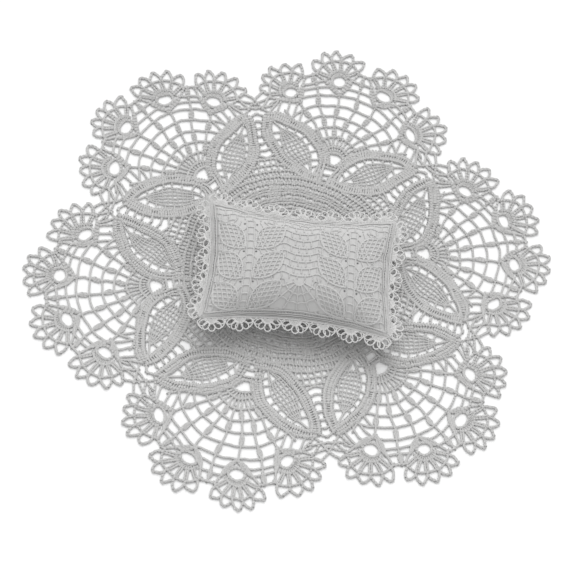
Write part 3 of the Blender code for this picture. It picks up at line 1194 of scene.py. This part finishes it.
@dataclass
class Doily:
    """The crocheted doily, one piece for each section that it is worked in. Flat sizes in metres."""

    box: Workbox
    sizes: DoilySizes = field(default_factory=DoilySizes)
    leaves_flat: tuple = (0.165, 0.085)
    leaves_share: float = 0.85
    fan_flat: tuple = (0.205, 0.125)
    fan_share: float = 0.70

    def section(
        self, name: str, draft: Draft, lobe: int | None, node: str
    ) -> None:
        """Works one section: its chains as the cloth, and its posts as the piece that goes with it.

        Args:
            name: the section's name.
            draft: its drawing.
            lobe: the lobe that it belongs to, or None for the middle.
            node: the solid that it stands for.
        """
        number = "" if lobe is None else f"_{lobe + 1}"
        chains = self.sizes.placed(draft.lines, lobe)
        posts = self.sizes.placed(draft.posts, lobe)
        cloth = self.box.worked(f"{name}_chains{number}", chains, Work.CROCHET, YARN, "doily", node + number)
        bars = self.box.worked(f"{name}_posts{number}", posts, Work.CROCHET, YARN, "doily")

    def build(self) -> None:
        """Builds the middle, the leaves and the fans."""
        middle = Medallion(self.sizes).draw()
        self.section("medallion", middle, None, "doily_medallion")
        leaves = Leaves(self.sizes).draw()
        fan = Fan(self.sizes, leaves).draw()
        for lobe in range(self.sizes.lobes):
            self.section("leaves", leaves, lobe, "doily_petals")
            self.section("fan", fan, lobe, "doily_fan")


# ---- Pillow ----------------------------------------------------------------------------------------


PANEL = CottonFinish("panel_weave", "panel_cotton", grey=0.565, woven=True, fibre=0.3, bump=0.45, drift=0.05)
LACE = CottonFinish("lace_thread", "lace_cotton", grey=0.565, sheen=0.2, drift=0.05, bump_height=0.06 * MM)
CORD = CottonFinish("edging_cord", "cord_cotton", grey=0.68, sheen=0.3, drift=0.05, bump_height=0.06 * MM)


def is_long(side: str) -> bool:
    """Whether a side is one of the pillow's two long ones."""
    return side in ("front", "back")


def side_sign(side: str) -> int:
    """Which way a side lies from the middle, -1 to the front or left and 1 to the back or right."""
    return -1 if side in ("front", "left") else 1


@dataclass
class CushionShape:
    """The crowned oblong that the pillow's pieces follow, read from the frame. Sizes in millimetres."""

    plumpness: float = 2.2
    belly_share: float = 1.14
    long_side_pull: float = 10.0
    short_side_pull: float = 6.0
    samples: int = 400

    def __post_init__(self) -> None:
        """Reads the seam's height and reach from the frame's panels, and measures the way over the crown."""
        low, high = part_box("pillow_front_panel")
        bottom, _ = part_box("pillow_back_panel")
        self.centre = np.array(((low.x + high.x) / 2, (low.y + high.y) / 2)) / MM
        self.half_length = (high.x - low.x) / 2 / MM
        self.half_width = (high.y - low.y) / 2 / MM
        self.seam = low.z / MM
        self.crown = (high.z - low.z) / MM
        self.rest = bottom.z / MM
        self.belly = (self.seam - self.rest) * self.belly_share
        self.steps = np.sin(np.linspace(0, pi / 2, self.samples))
        still = np.zeros_like(self.steps)
        self.ways_over = (
            way_along(self.points(self.steps, still)),
            way_along(self.points(still, self.steps)),
        )

    def points(self, across: Points, along_side: Points, under: bool = False) -> Points:
        """Points of the skin.

        Args:
            across: places from the left side, -1, to the right side, 1.
            along_side: places from the front, -1, to the back, 1.
            under: whether the points are on the underside.

        Returns:
            The points, in millimetres.
        """
        x = across * (self.half_length - self.short_side_pull * (1 - along_side**2))
        y = along_side * (self.half_width - self.long_side_pull * (1 - across**2))
        fall = (1 - np.abs(across) ** self.plumpness) * (1 - np.abs(along_side) ** self.plumpness)
        height = -self.belly if under else self.crown
        z = self.seam + height * np.sqrt(np.clip(fall, 0, None))
        if under:
            z = np.maximum(z, self.rest)
        return np.stack([x + self.centre[0], y + self.centre[1], z], axis=-1)

    def shares(self, flat: Points) -> list[Points]:
        """The places on the skin, across and along, of points measured over the cloth from its middle."""
        return [
            np.sign(flat[:, axis]) * np.interp(np.abs(flat[:, axis]), way, self.steps)
            for axis, way in enumerate(self.ways_over)
        ]

    def reach(self) -> tuple[float, float]:
        """The way over the cloth from its middle to the side seam and to the front seam."""
        return float(self.ways_over[0][-1]), float(self.ways_over[1][-1])

    def half(self, side: str) -> float:
        """Half the length of one side."""
        return self.half_length if is_long(side) else self.half_width

    def rim(self, side: str, places: Points, offset: float) -> tuple[Points, Points]:
        """Points along one side of the seam and the directions away from the pillow.

        Args:
            side: one of the four sides.
            places: places along it, from -1 to 1, anticlockwise.
            offset: how far outside the panel.

        Returns:
            The flat points and the outward directions.
        """
        half_length, half_width = self.half_length + offset, self.half_width + offset
        bow = 1 - places**2
        sign = side_sign(side)
        if is_long(side):
            point = (-sign * places * half_length, sign * (half_width - self.long_side_pull * bow))
            slope = (np.full_like(places, -sign * half_length), sign * 2 * self.long_side_pull * places)
        else:
            point = (sign * (half_length - self.short_side_pull * bow), sign * places * half_width)
            slope = (sign * 2 * self.short_side_pull * places, np.full_like(places, sign * half_width))
        out = np.stack([slope[1], -slope[0]], axis=1)
        return np.stack(point, axis=1) + self.centre, out / np.linalg.norm(out, axis=1)[:, None]

    def ring(self, offset: float, out: float, corner: float, steps: int = 36) -> Points:
        """A closed flat line round the seam with rounded corners.

        Args:
            offset: the seam's own offset from the panel.
            out: how far outside the seam.
            corner: how much of each side's ends the corner's curve takes, as a share of the half side.
            steps: the number of points on each side.

        Returns:
            The points.
        """
        rows = []
        for side in SIDES:
            point, away = self.rim(side, np.linspace(-1 + corner, 1 - corner, steps), offset)
            rows.append(point + away * out)
        return smooth(np.concatenate(rows), 2, True)


@dataclass
class Cover:
    """The woven cover, blown up by its filling in a cloth simulation. Sizes in millimetres."""

    shape: CushionShape
    columns: int = 56
    rows: int = 40
    merge: float = 0.01
    start_share: float = 0.97
    frames: int = 20
    pressure: float = 4.0
    slack: float = -0.012
    quality: int = 7
    mass: float = 0.15
    tension: float = 20
    compression: float = 12
    shear: float = 8
    bending: float = 0.4
    firm_height: float = 1.5
    cap: float = 4.0
    seam_cap: float = 0.6
    headroom: float = 0.5

    def grid(self, under: bool) -> Points:
        """One skin's points, a little inside the finished size.

        Args:
            under: whether it is the underside's skin.

        Returns:
            The points in millimetres.
        """
        counts = (self.columns, self.rows)
        steps = [np.sin(np.linspace(-pi / 2, pi / 2, count + 1)) for count in counts]
        across, along_side = np.meshgrid(*steps, indexing="ij")
        points = self.shape.points(across.ravel(), along_side.ravel(), under)
        points[:, 2] = self.shape.seam + (points[:, 2] - self.shape.seam) * self.start_share
        return points

    def mesh(self) -> Mesh:
        """The two skins joined along the seam, as one closed mesh in metres."""
        upper, lower = self.grid(False), self.grid(True)
        size = len(upper)
        index = np.arange(size).reshape(self.columns + 1, self.rows + 1)
        faces = []
        for column in range(self.columns):
            for row in range(self.rows):
                quad = [int(index[column + a, row + b]) for a, b in ((0, 0), (1, 0), (1, 1), (0, 1))]
                faces.append(quad)
                faces.append([corner + size for corner in reversed(quad)])
        mesh = bpy.data.meshes.new("pillow_cover")
        mesh.from_pydata(np.concatenate([upper, lower]) * MM, [], faces)
        shape = bmesh.new()
        shape.from_mesh(mesh)
        bmesh.ops.remove_doubles(shape, verts=shape.verts, dist=self.merge * MM)
        bmesh.ops.recalc_face_normals(shape, faces=shape.faces)
        if shape.calc_volume(signed=True) < 0:
            bmesh.ops.reverse_faces(shape, faces=shape.faces)
        shape.to_mesh(mesh)
        shape.free()
        mesh.shade_smooth()
        return mesh

    def seam_weights(self, points: Points) -> Points:
        """How firmly each point is held, 1 at the seam and 0 a little way from it."""
        above = np.abs(points[:, 2] / MM - self.shape.seam)
        return np.clip(1 - above / self.firm_height, 0, 1)

    def blow_up(self, obj: Object, rest: Points) -> Points:
        """Lets the filling press the cover out.

        Args:
            obj: the cover.
            rest: its points in metres.

        Returns:
            The points that it comes to rest at, in metres.
        """
        held = obj.vertex_groups.new(name="seam")
        for index, weight in enumerate(self.seam_weights(rest)):
            if weight > 0:
                held.add([index], float(weight), "REPLACE")
        cloth = obj.modifiers.new("stuffing", "CLOTH")
        choices = {
            "quality": self.quality,
            "mass": self.mass,
            "tension_stiffness": self.tension,
            "compression_stiffness": self.compression,
            "shear_stiffness": self.shear,
            "bending_stiffness": self.bending,
            "use_pressure": True,
            "uniform_pressure_force": self.pressure,
            "shrink_min": self.slack,
            "vertex_group_mass": held.name,
        }
        for choice, value in choices.items():
            setattr(cloth.settings, choice, value)
        cloth.settings.effector_weights.gravity = 0
        cloth.point_cache.frame_start = 1
        cloth.point_cache.frame_end = self.frames
        for frame_number in range(1, self.frames + 1):
            bpy.context.scene.frame_set(frame_number)
        graph = bpy.context.evaluated_depsgraph_get()
        blown = points_of(obj.evaluated_get(graph).data)
        obj.modifiers.remove(cloth)
        obj.vertex_groups.remove(held)
        bpy.context.scene.frame_set(1)
        return blown

    def settle(self, rest: Points, blown: Points) -> Points:
        """Caps how far each point moves, and sets the underside down on the doily.

        Args:
            rest: the points before the cover was blown up.
            blown: the points after it.

        Returns:
            The settled points in metres.
        """
        firm = self.seam_weights(rest)[:, None]
        cap = (self.cap * (1 - firm) + self.seam_cap * firm) * MM
        move = blown - rest
        far = np.linalg.norm(move, axis=1)[:, None]
        settled = rest + move * np.minimum(1, cap / np.maximum(far, 1e-9))
        top = self.shape.seam + self.shape.crown + self.headroom
        settled[:, 2] = np.clip(settled[:, 2], self.shape.rest * MM, top * MM)
        return settled

    def build(self) -> Mesh:
        """Makes the finished cover's mesh, not yet dressed."""
        mesh = self.mesh()
        obj = placed_object("pillow_cover", mesh)
        rest = points_of(mesh)
        mesh.vertices.foreach_set("co", self.settle(rest, self.blow_up(obj, rest)).ravel())
        mesh.update()
        finer = obj.modifiers.new("finer", "SUBSURF")
        finer.levels = finer.render_levels = 1
        smooth_mesh = evaluated_mesh(obj, "pillow_cover")
        bpy.data.objects.remove(obj)
        smooth_mesh.shade_smooth()
        return smooth_mesh


def points_of(mesh: Mesh) -> Points:
    """A mesh's points.

    Args:
        mesh: the mesh.

    Returns:
        The points, one row each.
    """
    flat = np.empty(len(mesh.vertices) * 3)
    mesh.vertices.foreach_get("co", flat)
    return flat.reshape(-1, 3)


@dataclass
class Surface:
    """The finished cover's skin, on which lace is laid. Sizes in millimetres."""

    shape: CushionShape
    mesh: Mesh
    start: float = 14.0
    near: float = 1e-3

    def __post_init__(self) -> None:
        """Indexes the mesh for rays."""
        points = points_of(self.mesh) / MM
        faces = [list(face.vertices) for face in self.mesh.polygons]
        self.tree = BVHTree.FromPolygons(points.tolist(), faces)

    def lay(self, flat: Points, lift: float) -> tuple[Points, Points]:
        """Lays flat points on the cover's front.

        Args:
            flat: points measured over the cloth from its middle.
            lift: how far above the cover.

        Returns:
            The points in millimetres and the directions that the cover faces there.
        """
        places = self.shape.shares(np.asarray(flat, float))
        middle = self.shape.points(*places)
        slopes = []
        for axis, place in enumerate(places):
            inward = np.where(place > 0, -self.near, self.near)
            moved = [there + inward if number == axis else there for number, there in enumerate(places)]
            slopes.append((self.shape.points(*moved) - middle) * np.sign(inward)[:, None])
        normal = np.cross(*slopes)
        normal /= np.linalg.norm(normal, axis=1)[:, None]
        laid = []
        for point, facing in zip(middle, normal):
            ray = Vector(facing)
            hit, _, _, _ = self.tree.ray_cast(Vector(point) + ray * self.start, -ray, 2 * self.start)
            laid.append(Vector(point) + ray * lift if hit is None else hit + ray * lift)
        return np.array(laid), normal

    def thread(self, flat: Points, lift: float, width: float) -> Thread:
        """A thread of a width in millimetres, laid on the cover's front."""
        points, facing = self.lay(flat, lift)
        return Thread(points * MM, width * MM, face=facing)


Drawn = list[tuple[Points, float]]


@dataclass
class LaceOverlay:
    """The lace on the front: leaves, ladders, rays and trellis. Sizes in millimetres over the cloth."""

    surface: Surface
    thread: float = 1.95
    lift: float = 0.35
    pair_pitch: float = 100.0
    sideways: float = -0.8
    row_pitch: float = 30.0
    first_row: float = -55.0
    pair_rows: int = 3
    leaf_foot: tuple = (5.2, 0.0)
    leaf_tip: tuple = (32.5, 27.5)
    leaf_half: float = 11.2
    leaf_round: float = 0.8
    leaf_edge_share: float = 1.3
    net_row: float = 4.1
    net_column: float = 4.7
    net_shares: tuple = (0.95, 1.05)
    row_rise: float = 0.17
    column_lean: float = 0.33
    cell: float = 7.0
    ladder_share: float = 0.9
    trellis: float = 7.6
    trellis_shares: tuple = (0.95, 0.85)
    wave: tuple = (1.2, -4.0, 6)
    dip_width: float = 6.0
    ray_turns: tuple = (-66, -44, -22, 0, 22, 44, 66)
    ray_rounds: tuple = (5.5, 13.5, 22.0)
    ray_reach: float = 34.0
    ray_share: float = 1.05
    ray_wave: float = 0.9
    hem: float = 8.6
    step: float = 2.0

    def __post_init__(self) -> None:
        """Reads the lace's reach from the cover's shape, and sets the middle of its rays."""
        half_length, half_width = self.surface.shape.reach()
        self.half = np.array((half_length - self.hem, half_width - self.hem))
        self.ray_middle = (self.sideways, self.first_row + self.row_pitch)
        self.foot, self.tip = np.array(self.leaf_foot, float), np.array(self.leaf_tip, float)
        self.leaf_length = np.linalg.norm(self.tip - self.foot)

    def leaf_edge(self, share: float) -> Points:
        """A line from a leaf's foot to its tip.

        Args:
            share: how far it bows, as a share of the leaf's half width.

        Returns:
            The line's points.
        """
        foot, tip = self.foot, self.tip
        way = np.linspace(0, 1, 13)[:, None]
        normal = np.array((-(tip - foot)[1], (tip - foot)[0])) / self.leaf_length
        bow = normal * np.sin(pi * way) ** self.leaf_round * self.leaf_half * share
        return foot + (tip - foot) * way + bow

    def in_leaf(self, points: Points) -> Points:
        """Whether points lie in one of a pair's two leaves.

        Args:
            points: the points, measured from the pair's foot.

        Returns:
            Whether each lies in a leaf.
        """
        ahead = (self.tip - self.foot) / self.leaf_length
        local = np.stack([np.abs(points[:, 0]), points[:, 1]], axis=1) - self.foot
        way = local @ ahead / self.leaf_length
        off = np.abs(local @ np.array((-ahead[1], ahead[0])))
        inside = (way > 0) & (way < 1)
        return inside & (off < self.leaf_half * np.sin(pi * np.clip(way, 0, 1)) ** self.leaf_round)

    def runs(self, line: Points, keep: Points) -> list[Points]:
        """The stretches of a line whose points are kept.

        Args:
            line: the line's points.
            keep: whether each is kept.

        Returns:
            The stretches of two points or more.
        """
        found, run = [], []
        for point, kept in zip(line, keep):
            if kept:
                run.append(point)
            elif run:
                found.append(run)
                run = []
        found.append(run)
        return [np.array(run) for run in found if len(run) > 1]

    def leaf(self) -> Drawn:
        """One leaf's outline and its net, with the share of the thread's width for each line."""
        lines = [(self.leaf_edge(side), self.leaf_edge_share) for side in (-1, 1)]
        low, high = self.leaf_foot[1], self.leaf_tip[1]
        near, far = self.leaf_foot[0] - 12, self.leaf_tip[0] + 12
        steps = np.linspace(0, 1, 60)
        row_share, column_share = self.net_shares
        for height in np.arange(low - 6, high + 6, self.net_row):
            places = near + (far - near) * steps
            row = np.stack([places, height + self.row_rise * (places - self.leaf_foot[0])], axis=1)
            lines += [(run, row_share) for run in self.runs(row, self.in_leaf(row))]
        for place in np.arange(near - 10, far, self.net_column):
            heights = low - 4 + (high - low + 8) * steps
            column = np.stack([place + self.column_lean * (heights - low), heights], axis=1)
            lines += [(run, column_share) for run in self.runs(column, self.in_leaf(column))]
        return lines

    def between(self) -> Drawn:
        """The ladder between two leaves, and the cells round their upper edges."""
        lines = []
        ladder = self.leaf_foot[0] - 1.6
        top = self.row_pitch
        for side in (-1, 1):
            rail = np.array(((side * ladder, 0), (side * ladder * 0.9, top * 0.5), (side * ladder, top)))
            lines.append((rail, self.ladder_share))
        for height in np.arange(0, top, self.trellis):
            lines.append((np.array(((-ladder, height), (0, height + 0.8), (ladder, height))), 1.0))
        edge = self.leaf_edge(1)
        outer = beside(edge, self.cell)
        kept = outer[(outer[:, 0] > ladder) & (outer[:, 1] < top - 1)]
        for side in (-1, 1):
            mirror = np.array((side, 1))
            lines.append((kept * mirror, 0.95))
            for place in along(edge, np.arange(0.12, 1.0, 0.14)):
                target = nearest(outer, place)
                if target[0] > ladder - 1:
                    spoke = np.array((place, (place + target) / 2, target))
                    lines.append((spoke * mirror, self.ladder_share))
        return lines

    def ground(self) -> Drawn:
        """The trellis that fills the lace between the pairs of leaves."""
        lines = []
        wide, high = self.half
        ripple, dip, waves = self.wave
        row_share, rung_share = self.trellis_shares
        for height in np.arange(-high, high, self.trellis):
            places = np.linspace(-wide, wide, 170)
            middle = places - self.sideways
            rise = ripple * np.cos(2 * pi * middle / self.pair_pitch * waves)
            rise = rise + dip * np.exp(-((middle / self.dip_width) ** 2))
            lines.append((np.stack([places, height + rise], axis=1), row_share))
        for number, place in enumerate(np.arange(-wide, wide, self.trellis / 2)):
            for step, height in enumerate(np.arange(-high, high - self.trellis, self.trellis)):
                if (number + step) % 2 == 0:
                    rungs = np.linspace(height, height + self.trellis, 5)
                    lines.append((np.stack([np.full(5, place), rungs], axis=1), rung_share))
        return [
            (run, share)
            for line, share in lines
            for run in self.runs(line, self.free(line) & ~self.in_rays(line))
        ]

    def in_rays(self, points: Points) -> Points:
        """Whether points lie in the half round of rays at the front, between the two pairs of leaves."""
        off = points - self.ray_middle
        return (np.linalg.norm(off, axis=1) < self.ray_reach) & (off[:, 1] < 0)

    def rays(self) -> Drawn:
        """The rays at the front, and the rounds that cross them."""
        lines = []
        for turn in self.ray_turns:
            reach = np.linspace(self.ray_rounds[0], self.ray_reach, 16)
            lines.append(polar(self.ray_middle, reach, radians(turn - 90)))
        for number, radius in enumerate(self.ray_rounds):
            turns = np.radians(np.linspace(self.ray_turns[0] - 24, self.ray_turns[-1] + 24, 30) - 90)
            wave = self.ray_wave * np.cos((turns * 180 / pi + 90) / 22 * 2 * pi) * (number > 0)
            lines.append(polar(self.ray_middle, radius + wave, turns))
        return [(run, self.ray_share) for line in lines for run in self.runs(line, self.free(line))]

    def cells(self) -> list[tuple[float, float]]:
        """The feet of all the pairs of leaves."""
        columns = [self.sideways + self.pair_pitch * (index + 0.5) for index in range(-2, 2)]
        rows = [self.first_row + self.row_pitch * index for index in range(self.pair_rows)]
        return [(column, row) for column in columns for row in rows]

    def free(self, points: Points) -> Points:
        """Whether points lie clear of every leaf and of the cells round it.

        Args:
            points: the points.

        Returns:
            Whether each lies clear.
        """
        clear = np.ones(len(points), bool)
        for foot in self.cells():
            local = points - foot
            clear &= ~self.in_leaf(local)
            beside_it = np.abs(local[:, 0]) < self.leaf_foot[0] + 2 * self.cell
            clear &= ~(beside_it & (local[:, 1] > 0) & (local[:, 1] < self.row_pitch))
        return clear

    def kept(self, line: Points) -> list[Points]:
        """The stretches of a line inside the lace's hem.

        Args:
            line: the line's points.

        Returns:
            The stretches, with points at even steps.
        """
        count = max(3, ceil(length_of(line) / self.step))
        fine = along(line, np.linspace(0, 1, count))
        return self.runs(fine, (np.abs(fine) < self.half).all(axis=1))

    def threads(self) -> list[Thread]:
        """All threads of the overlay."""
        drawn = []
        leaf, between = self.leaf(), self.between()
        for foot in self.cells():
            for side in (-1, 1):
                drawn += [(line * (side, 1) + foot, share) for line, share in leaf]
            drawn += [(line + foot, share) for line, share in between]
        drawn += self.ground() + self.rays()
        return [
            self.surface.thread(run, self.lift, self.thread * share)
            for line, share in drawn
            for run in self.kept(line)
        ]


@dataclass
class Border:
    """The ridged tape just inside the seam, one length for each side. Sizes in millimetres."""

    surface: Surface
    ridges: tuple = (0.7, 2.6, 4.6, 8.2)
    ridge: float = 1.6
    post_share: float = 0.75
    post_pitch: float = 2.7
    lift: float = 0.8

    def flat(self, side: str, place: Points, inset: float | Points) -> Points:
        """Points of the tape, measured over the cloth from its middle.

        Args:
            side: the pillow's side.
            place: places along it, from -1 to 1.
            inset: how far inside the seam.

        Returns:
            The flat points.
        """
        half_length, half_width = self.surface.shape.reach()
        sign = side_sign(side)
        if is_long(side):
            return np.stack([place * (half_length - inset), sign * (half_width - inset) + 0 * place], axis=1)
        return np.stack([sign * (half_length - inset) + 0 * place, place * (half_width - inset)], axis=1)

    def threads(self, side: str) -> list[Thread]:
        """The ridges and the short posts of one side's tape.

        Args:
            side: the pillow's side.

        Returns:
            The threads in metres.
        """
        half = self.surface.shape.reach()[0 if is_long(side) else 1]
        rows = [(self.flat(side, np.linspace(-0.995, 0.995, 90), inset), self.ridge) for inset in self.ridges]
        count = int(2 * (half - self.ridges[-1]) / self.post_pitch)
        insets = np.linspace(self.ridges[2], self.ridges[3], 3)
        for place in np.linspace(-0.98, 0.98, count):
            rows.append((self.flat(side, np.full(3, place), insets), self.ridge * self.post_share))
        return [self.surface.thread(flat, self.lift, width) for flat, width in rows]


@dataclass
class Edging:
    """The looped edging: scallops of small rings sewn to the header cord. Sizes in millimetres."""

    shape: CushionShape
    scallops: dict = field(default_factory=lambda: {"front": 7, "right": 5, "back": 7, "left": 5})
    cord: float = 1.45
    root: float = 2.9
    full_pitch: float = 14.0
    loop_half: tuple = (3.5, 4.3)
    loops: tuple = (-70, -36, 0, 36, 70)
    loop_sway: float = 5.0
    loop_sizes: tuple = (0.93, 1.06)
    loop_rise: float = 0.5
    loop_narrowing: float = 0.28
    fan_half: tuple = (8.8, 9.2)
    moon_half: tuple = (6.0, 5.4)
    moons: tuple = (1.0, 0.76, 0.52, 0.28)
    moon_rise: float = 0.25
    moon_share: float = 1.05
    arm: tuple = ((0.72, -0.6, 0), (0.98, 2.4, 0.2), (0.90, 6.4, 0), (0.70, 9.8, 0))
    droop: float = 0.16
    header_out: float = 1.1
    header_cords: tuple = ((0.0, 2.5, 0.2), (1.7, 1.4, -0.5))
    header_corner: float = 0.035
    header_seam: float = 0.8
    seed: int = 5

    def laid(self, side: str, place: float, local: Points) -> Points:
        """Points of a scallop in place.

        Args:
            side: the pillow's side.
            place: the scallop's middle along it, from -1 to 1.
            local: its flat points, along the side and outwards, and their rise.

        Returns:
            The points in millimetres.
        """
        places = np.clip(place + local[:, 0] / self.shape.half(side), -1.03, 1.03)
        point, away = self.shape.rim(side, places, self.root)
        flat = point + away * local[:, 1:2]
        height = self.shape.seam - self.droop * local[:, 1] + local[:, 2]
        return np.column_stack([flat, height])

    def loop(self, shrink: float, turn: float, chance: np.random.Generator) -> Points:
        """One of a scallop's rings.

        Args:
            shrink: the scallop's size as a share of its full size.
            turn: the ring's place in the scallop, in degrees from straight out.
            chance: a seeded source of small differences.

        Returns:
            The ring's points.
        """
        ring = np.linspace(0, 2 * pi, 16, endpoint=False)
        lean = radians(turn + chance.uniform(-self.loop_sway, self.loop_sway))
        middle = np.array((self.fan_half[0] * shrink * sin(lean), self.fan_half[1] * cos(lean) * 0.98))
        narrow = 1 - self.loop_narrowing * abs(sin(lean))
        size = chance.uniform(*self.loop_sizes)
        wide, deep = self.loop_half
        local = np.stack([wide * narrow * size * np.cos(ring), deep * size * np.sin(ring)], axis=1)
        spun = local @ np.array(((cos(lean), -sin(lean)), (sin(lean), cos(lean))))
        rise = self.loop_rise * np.sin(ring + chance.uniform(0, 2 * pi))
        return np.column_stack([spun + middle, rise])

    def scallop(self, half_pitch: float, chance: np.random.Generator) -> list[Line]:
        """One scallop's cords, along the side, outwards and upwards.

        Args:
            half_pitch: half the distance between two scallops.
            chance: a seeded source of small differences.

        Returns:
            The cords, with their widths as shares of the cord's.
        """
        shrink = half_pitch / self.full_pitch
        cords = [(self.loop(shrink, turn, chance), 1.0, True) for turn in self.loops]
        sweep = np.linspace(0, pi, 11)
        wide, deep = self.moon_half
        for share in self.moons:
            flat = [wide * share * shrink * np.cos(sweep), deep * share * np.sin(sweep)]
            arc = np.stack([*flat, np.full(11, self.moon_rise)], axis=1)
            cords.append((arc, self.moon_share, False))
        for side in (-1, 1):
            arm = smooth([(half_pitch * side * out, *rest) for out, *rest in self.arm], 4)
            cords.append((arm, 1.0, False))
        return cords

    def threads(self, side: str) -> list[Thread]:
        """All cords of one side's edging.

        Args:
            side: the pillow's side.

        Returns:
            The threads in metres.
        """
        chance = np.random.default_rng(self.seed + SIDES.index(side))
        count = self.scallops[side]
        half_pitch = self.shape.half(side) / count
        threads = []
        for number in range(count):
            place = (2 * number + 1) / count - 1
            for local, share, closed in self.scallop(half_pitch, chance):
                threads.append(Thread(self.laid(side, place, local) * MM, self.cord * share * MM, closed))
        return threads

    def header(self) -> list[Thread]:
        """The thick header cord and the thinner one that the scallops hang from."""
        threads = []
        for out, width, rise in self.header_cords:
            line = self.shape.ring(self.header_seam, self.header_out + out, self.header_corner)
            height = np.full(len(line), self.shape.seam + rise)
            threads.append(Thread(np.column_stack([line, height]) * MM, width * MM, True))
        return threads


@dataclass
class Pillow:
    """The ring pillow: its cover, its lace, its border, its header cord and its edging."""

    box: Workbox
    shape: CushionShape = field(default_factory=CushionShape)
    fill: float = 0.8

    def twisted(self, name: str, threads: Sequence[Thread], finish: CottonFinish, node: str) -> Object:
        """Works twisted threads into one of the pillow's pieces, which stands for a solid."""
        return self.box.worked(name, threads, Work.TWIST, finish, "pillow", node)

    def build(self) -> None:
        """Builds and dresses all of the pillow's pieces."""
        mesh = Cover(self.shape).build()
        cover = self.box.piece(
            "pillow_cover", mesh, PANEL, "pillow", "pillow_filling", "pillow_front_panel", "pillow_back_panel"
        )
        surface = Surface(self.shape, mesh)
        overlay = LaceOverlay(surface)
        border = Border(surface)
        edging = Edging(self.shape)
        lace = self.twisted("lace_net", overlay.threads(), LACE, "lace_overlay")
        for side in SIDES:
            tape, loops = border.threads(side), edging.threads(side)
            self.twisted(f"lace_tape_{side}", tape, LACE, f"lace_border_{side}")
            self.twisted(f"loop_edging_{side}", loops, CORD, f"scallop_trim_{side}")
        self.twisted("header_cords", edging.header(), LACE, "header_cord")


# ---- Studio ----------------------------------------------------------------------------------------


@dataclass
class Studio:
    """The floor, the lights and the camera. Sizes in metres."""

    azimuth: float = radians(-7.5)
    elevation: float = radians(61.88)
    roll: float = radians(12.8)
    distance: float = 2.409
    lens: float = 149.5
    lift: float = -0.0345
    floor_half: float = 4.0
    floor_level: float = -0.1 * MM
    floor_grey: float = 0.92
    floor_roughness: float = 0.9
    key_from: tuple = (radians(92), radians(52))
    key_strength: float = 1.65
    key_spread: float = radians(50)
    sky: float = 0.75

    def build(self) -> None:
        """Builds the whole studio."""
        self.floor()
        self.lights()
        self.camera()
        bpy.context.scene.view_settings.view_transform = "Standard"

    def floor(self) -> None:
        """A plain pale floor under the doily."""
        mesh = bpy.data.meshes.new("studio_floor")
        reach = self.floor_half
        corners = [(x * reach, y * reach, self.floor_level) for x, y in ((-1, -1), (1, -1), (1, 1), (-1, 1))]
        mesh.from_pydata(corners, [], [(0, 1, 2, 3)])
        material = bpy.data.materials.new("pale_floor")
        material.use_nodes = True
        shader = material.node_tree.nodes["Principled BSDF"]
        shader.inputs["Base Color"].default_value = (self.floor_grey, self.floor_grey, self.floor_grey, 1)
        shader.inputs["Roughness"].default_value = self.floor_roughness
        shader.inputs["Specular IOR Level"].default_value = 0.0
        mesh.materials.append(material)
        placed_object("studio_floor", mesh)

    def lights(self) -> None:
        """One wide soft light from behind and above, and an even sky."""
        lamp = bpy.data.lights.new("soft_key", "SUN")
        lamp.energy = self.key_strength
        lamp.angle = self.key_spread
        turn, rise = self.key_from
        towards = Vector((cos(turn) * cos(rise), sin(turn) * cos(rise), sin(rise)))
        placed_object("soft_key", lamp).rotation_euler = towards.to_track_quat("Z", "Y").to_euler()
        world = bpy.data.worlds.new("even_sky")
        world.use_nodes = True
        back = world.node_tree.nodes["Background"]
        back.inputs["Color"].default_value = (1, 1, 1, 1)
        back.inputs["Strength"].default_value = self.sky
        bpy.context.scene.world = world

    def camera(self) -> None:
        """A long lens that looks down at the doily from the front, slightly turned and rolled."""
        data = bpy.data.cameras.new("camera")
        data.lens = self.lens
        data.shift_y = self.lift
        camera = placed_object("camera", data)
        flat = cos(self.elevation)
        back = Vector((sin(self.azimuth) * flat, -cos(self.azimuth) * flat, sin(self.elevation)))
        right = Vector((cos(self.azimuth), sin(self.azimuth), 0))
        over = back.cross(right)
        turned = right * cos(self.roll) + over * sin(self.roll)
        upward = over * cos(self.roll) - right * sin(self.roll)
        facing = Matrix((turned, upward, back)).transposed().to_4x4()
        camera.matrix_world = Matrix.Translation(back * self.distance) @ facing
        bpy.context.scene.camera = camera


def main() -> None:
    """Builds the doily, the pillow and the studio."""
    box = Workbox()
    Doily(box).build()
    Pillow(box).build()
    Studio().build()


if __name__ == "__main__":
    main()
